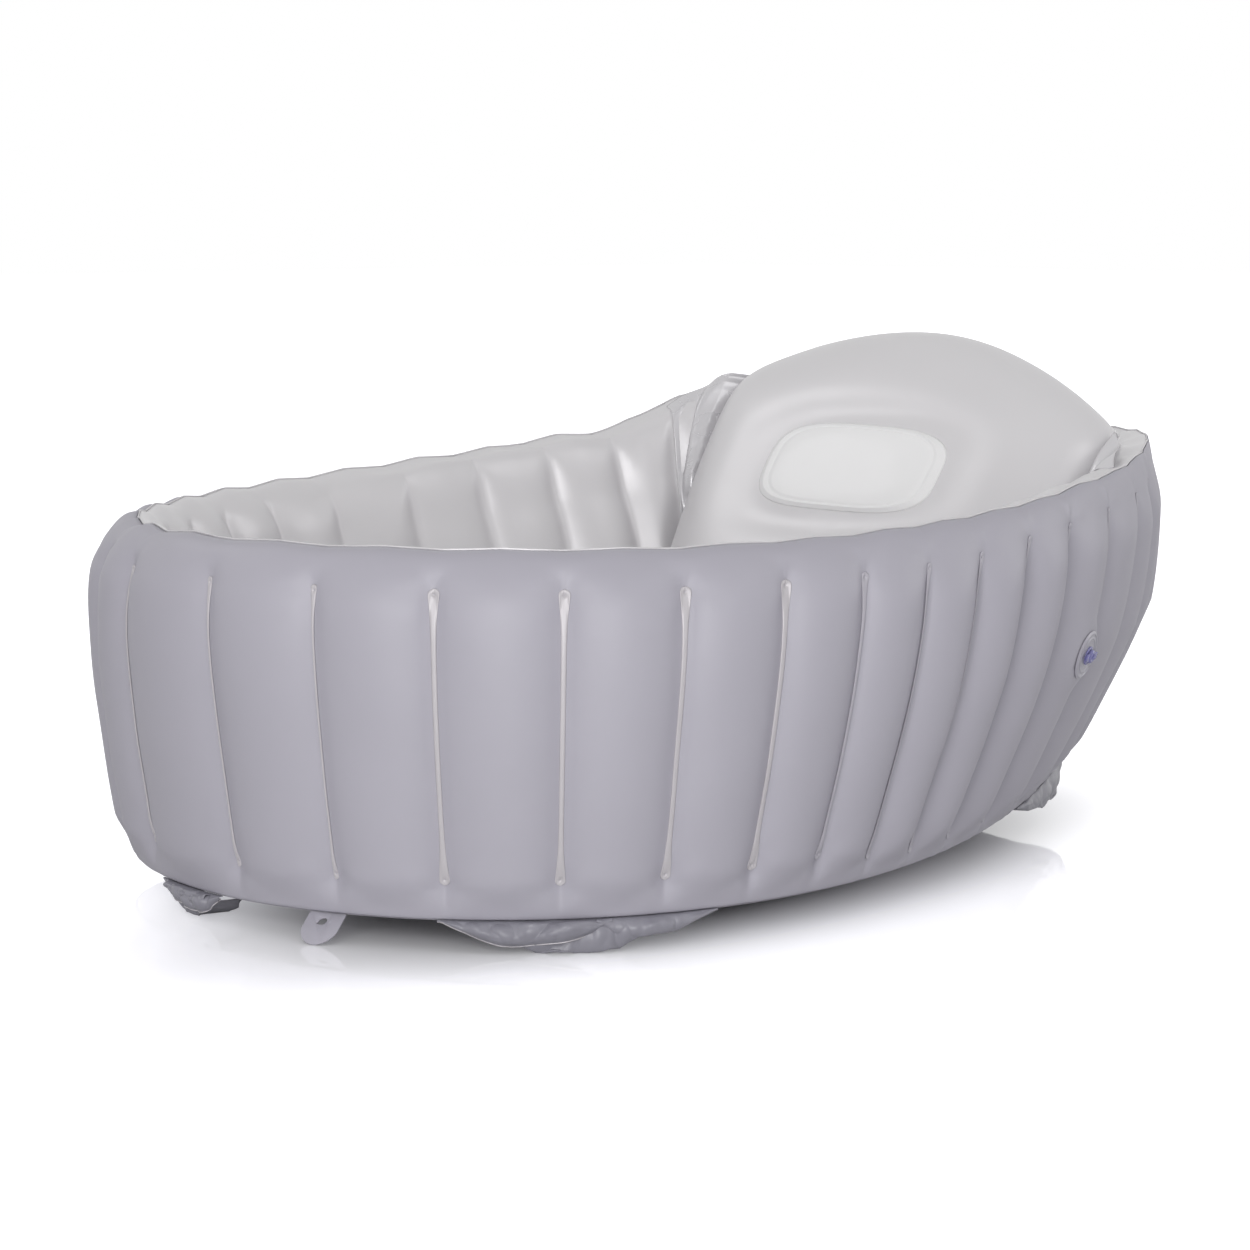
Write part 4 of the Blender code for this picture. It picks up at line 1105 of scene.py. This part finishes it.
def make_floor():
    """A glossy floor with painted light: a glow, seen only by the camera, that rises away from the tub so
    that the floor ends in white, while near the tub the real shadow and reflection show.
    """
    bpy.ops.mesh.primitive_plane_add(size=40, location=(0, 0, 0))
    floor = name_piece("studio_floor")
    material = bpy.data.materials.new("studio_floor")
    material.use_nodes = True
    nodes, links = material.node_tree.nodes, material.node_tree.links
    shader = nodes["Principled BSDF"]
    shader.inputs["Base Color"].default_value = (0.86, 0.86, 0.86, 1)
    shader.inputs["Roughness"].default_value = 0.035
    shader.inputs["Specular IOR Level"].default_value = 0.5
    place, squeeze, apart, nearness = (nodes.new(kind) for kind in (
        "ShaderNodeTexCoord", "ShaderNodeMapping", "ShaderNodeVectorMath", "ShaderNodeMapRange"))
    squeeze.vector_type = "TEXTURE"
    squeeze.inputs["Location"].default_value = (-0.0382, -0.046, 0.0)
    squeeze.inputs["Rotation"].default_value = (0.0, 0.0, math.radians(11.1))
    squeeze.inputs["Scale"].default_value = (0.49, 0.214, 1.0)
    apart.operation = "LENGTH"
    nearness.inputs["From Min"].default_value = 0.62
    nearness.inputs["From Max"].default_value = 1.31
    nearness.inputs["To Min"].default_value = 0.0
    nearness.inputs["To Max"].default_value = 0.68
    nearness.interpolation_type = "SMOOTHSTEP"
    path, glow = nodes.new("ShaderNodeLightPath"), nodes.new("ShaderNodeMath")
    glow.operation = "MULTIPLY"
    links.new(place.outputs["Object"], squeeze.inputs["Vector"])
    links.new(squeeze.outputs["Vector"], apart.inputs[0])
    links.new(apart.outputs["Value"], nearness.inputs["Value"])
    links.new(nearness.outputs["Result"], glow.inputs[0])
    links.new(path.outputs["Is Camera Ray"], glow.inputs[1])
    links.new(glow.outputs[0], shader.inputs["Emission Strength"])
    # The glow's faint lilac is a painted tint standing in for the tub's lilac reflection in the floor.
    shader.inputs["Emission Color"].default_value = (0.95, 0.95, 1.0, 1)
    floor.data.materials.append(material)


def make_world():
    """Even light from all round, brighter from below, and white for the camera and in reflections."""
    world = bpy.data.worlds.new("studio_world")
    bpy.context.scene.world = world
    world.use_nodes = True
    nodes, links = world.node_tree.nodes, world.node_tree.links
    background = nodes["Background"]
    background.inputs["Color"].default_value = (1, 1, 1, 1)
    path = nodes.new("ShaderNodeLightPath")
    seen = nodes.new("ShaderNodeMath")
    seen.operation = "MAXIMUM"
    links.new(path.outputs["Is Camera Ray"], seen.inputs[0])
    links.new(path.outputs["Is Glossy Ray"], seen.inputs[1])
    strength = nodes.new("ShaderNodeMapRange")
    aim, parts, height = (nodes.new(kind) for kind in (
        "ShaderNodeTexCoord", "ShaderNodeSeparateXYZ", "ShaderNodeMapRange"))
    height.inputs["To Min"].default_value = 0.53
    height.inputs["To Max"].default_value = 0.36
    links.new(aim.outputs["Generated"], parts.inputs["Vector"])
    links.new(parts.outputs["Z"], height.inputs["Value"])
    links.new(height.outputs["Result"], strength.inputs["To Min"])
    strength.inputs["To Max"].default_value = 1.0
    links.new(seen.outputs[0], strength.inputs["Value"])
    links.new(strength.outputs["Result"], background.inputs["Strength"])


def make_lights():
    for name, size, power, place, aim in SOFTBOXES:
        lamp = bpy.data.lights.new(name, "AREA")
        lamp.shape = "SQUARE"
        lamp.size = size
        lamp.energy = power
        light = bpy.data.objects.new(name, lamp)
        bpy.context.scene.collection.objects.link(light)
        light.location = place
        light.rotation_euler = (Vector(place) - Vector(aim)).to_track_quat("Z", "Y").to_euler()


CAMERA_AZIMUTH = math.radians(-43.71)
CAMERA_ELEVATION = math.radians(6.575)
CAMERA_DISTANCE = 2.692
CAMERA_TARGET = SHIFT + Vector((-0.0865, 0, 0.1741))


def make_camera():
    level = math.cos(CAMERA_ELEVATION)
    back = Vector((
        math.sin(CAMERA_AZIMUTH) * level, -math.cos(CAMERA_AZIMUTH) * level, math.sin(CAMERA_ELEVATION)))
    camera = bpy.data.cameras.new("camera")
    camera.sensor_width = 36
    camera.lens = 104.21
    eye = bpy.data.objects.new("camera", camera)
    bpy.context.scene.collection.objects.link(eye)
    eye.location = CAMERA_TARGET + back * CAMERA_DISTANCE
    eye.rotation_euler = back.to_track_quat("Z", "Y").to_euler()
    bpy.context.scene.camera = eye


make_camera()
make_floor()
make_world()
make_lights()
make_wall_skins()
make_webs()
make_crest_seam()
make_floor_cushion()
make_base_sheet()
make_panel(make_cushion())
make_cushion_seam()
make_gusset("gusset_film_near", 1, "gusset_near")
make_gusset("gusset_film_far", -1, "gusset_far")
make_skirt("skirt_side", "skirt_fold_side", [
    (0.142, 0.246, (0.0, 0.30, 0.62, 0.76, 0.68, 0.60, 0.42, 0.12), 0.011, 0, 1.7),
    (0.172, 0.276, (0.05, 0.60, 0.95, 1.0, 1.0, 0.90, 0.62, 0.40), 0.005, 0.028, 4.1),
    (0.236, 0.314, (0.15, 0.45, 0.58, 0.55, 0.42, 0.22, 0.03), 0.009, 0.020, 6.4),
], hem_layer=0)
make_skirt("skirt_foot", "skirt_fold_foot", [
    (-0.062, -0.004, (0.12, 0.36, 0.52, 0.62, 0.70, 0.64, 0.10), 0.011, 0, 5.3),
    (-0.070, -0.010, (0.05, 0.30, 0.60, 0.90, 1.0, 0.80, 0.30), 0.003, 0.024, 2.2),
    (-0.058, -0.012, (0.25, 0.22, 0.30, 0.38, 0.44, 0.30), 0.014, 0, 7.7),
], hem_layer=0)
make_skirt("skirt_head", "skirt_fold_head", [
    (0.655, 0.830, (0.02, 0.18, 0.28, 0.32, 0.30, 0.34, 0.30, 0.10), 0.005, 0.013, 9.1),
    (0.690, 0.830, (0.05, 0.30, 0.42, 0.40, 0.46, 0.35, 0.10), 0.002, 0.013, 3.3),
])
make_tab()
make_wall_valve()
make_small_valve("backrest_valve", BACKREST_VALVE)
make_small_valve("floor_valve", FLOOR_VALVE)
make_drain()

bpy.context.scene.view_settings.view_transform = "Standard"
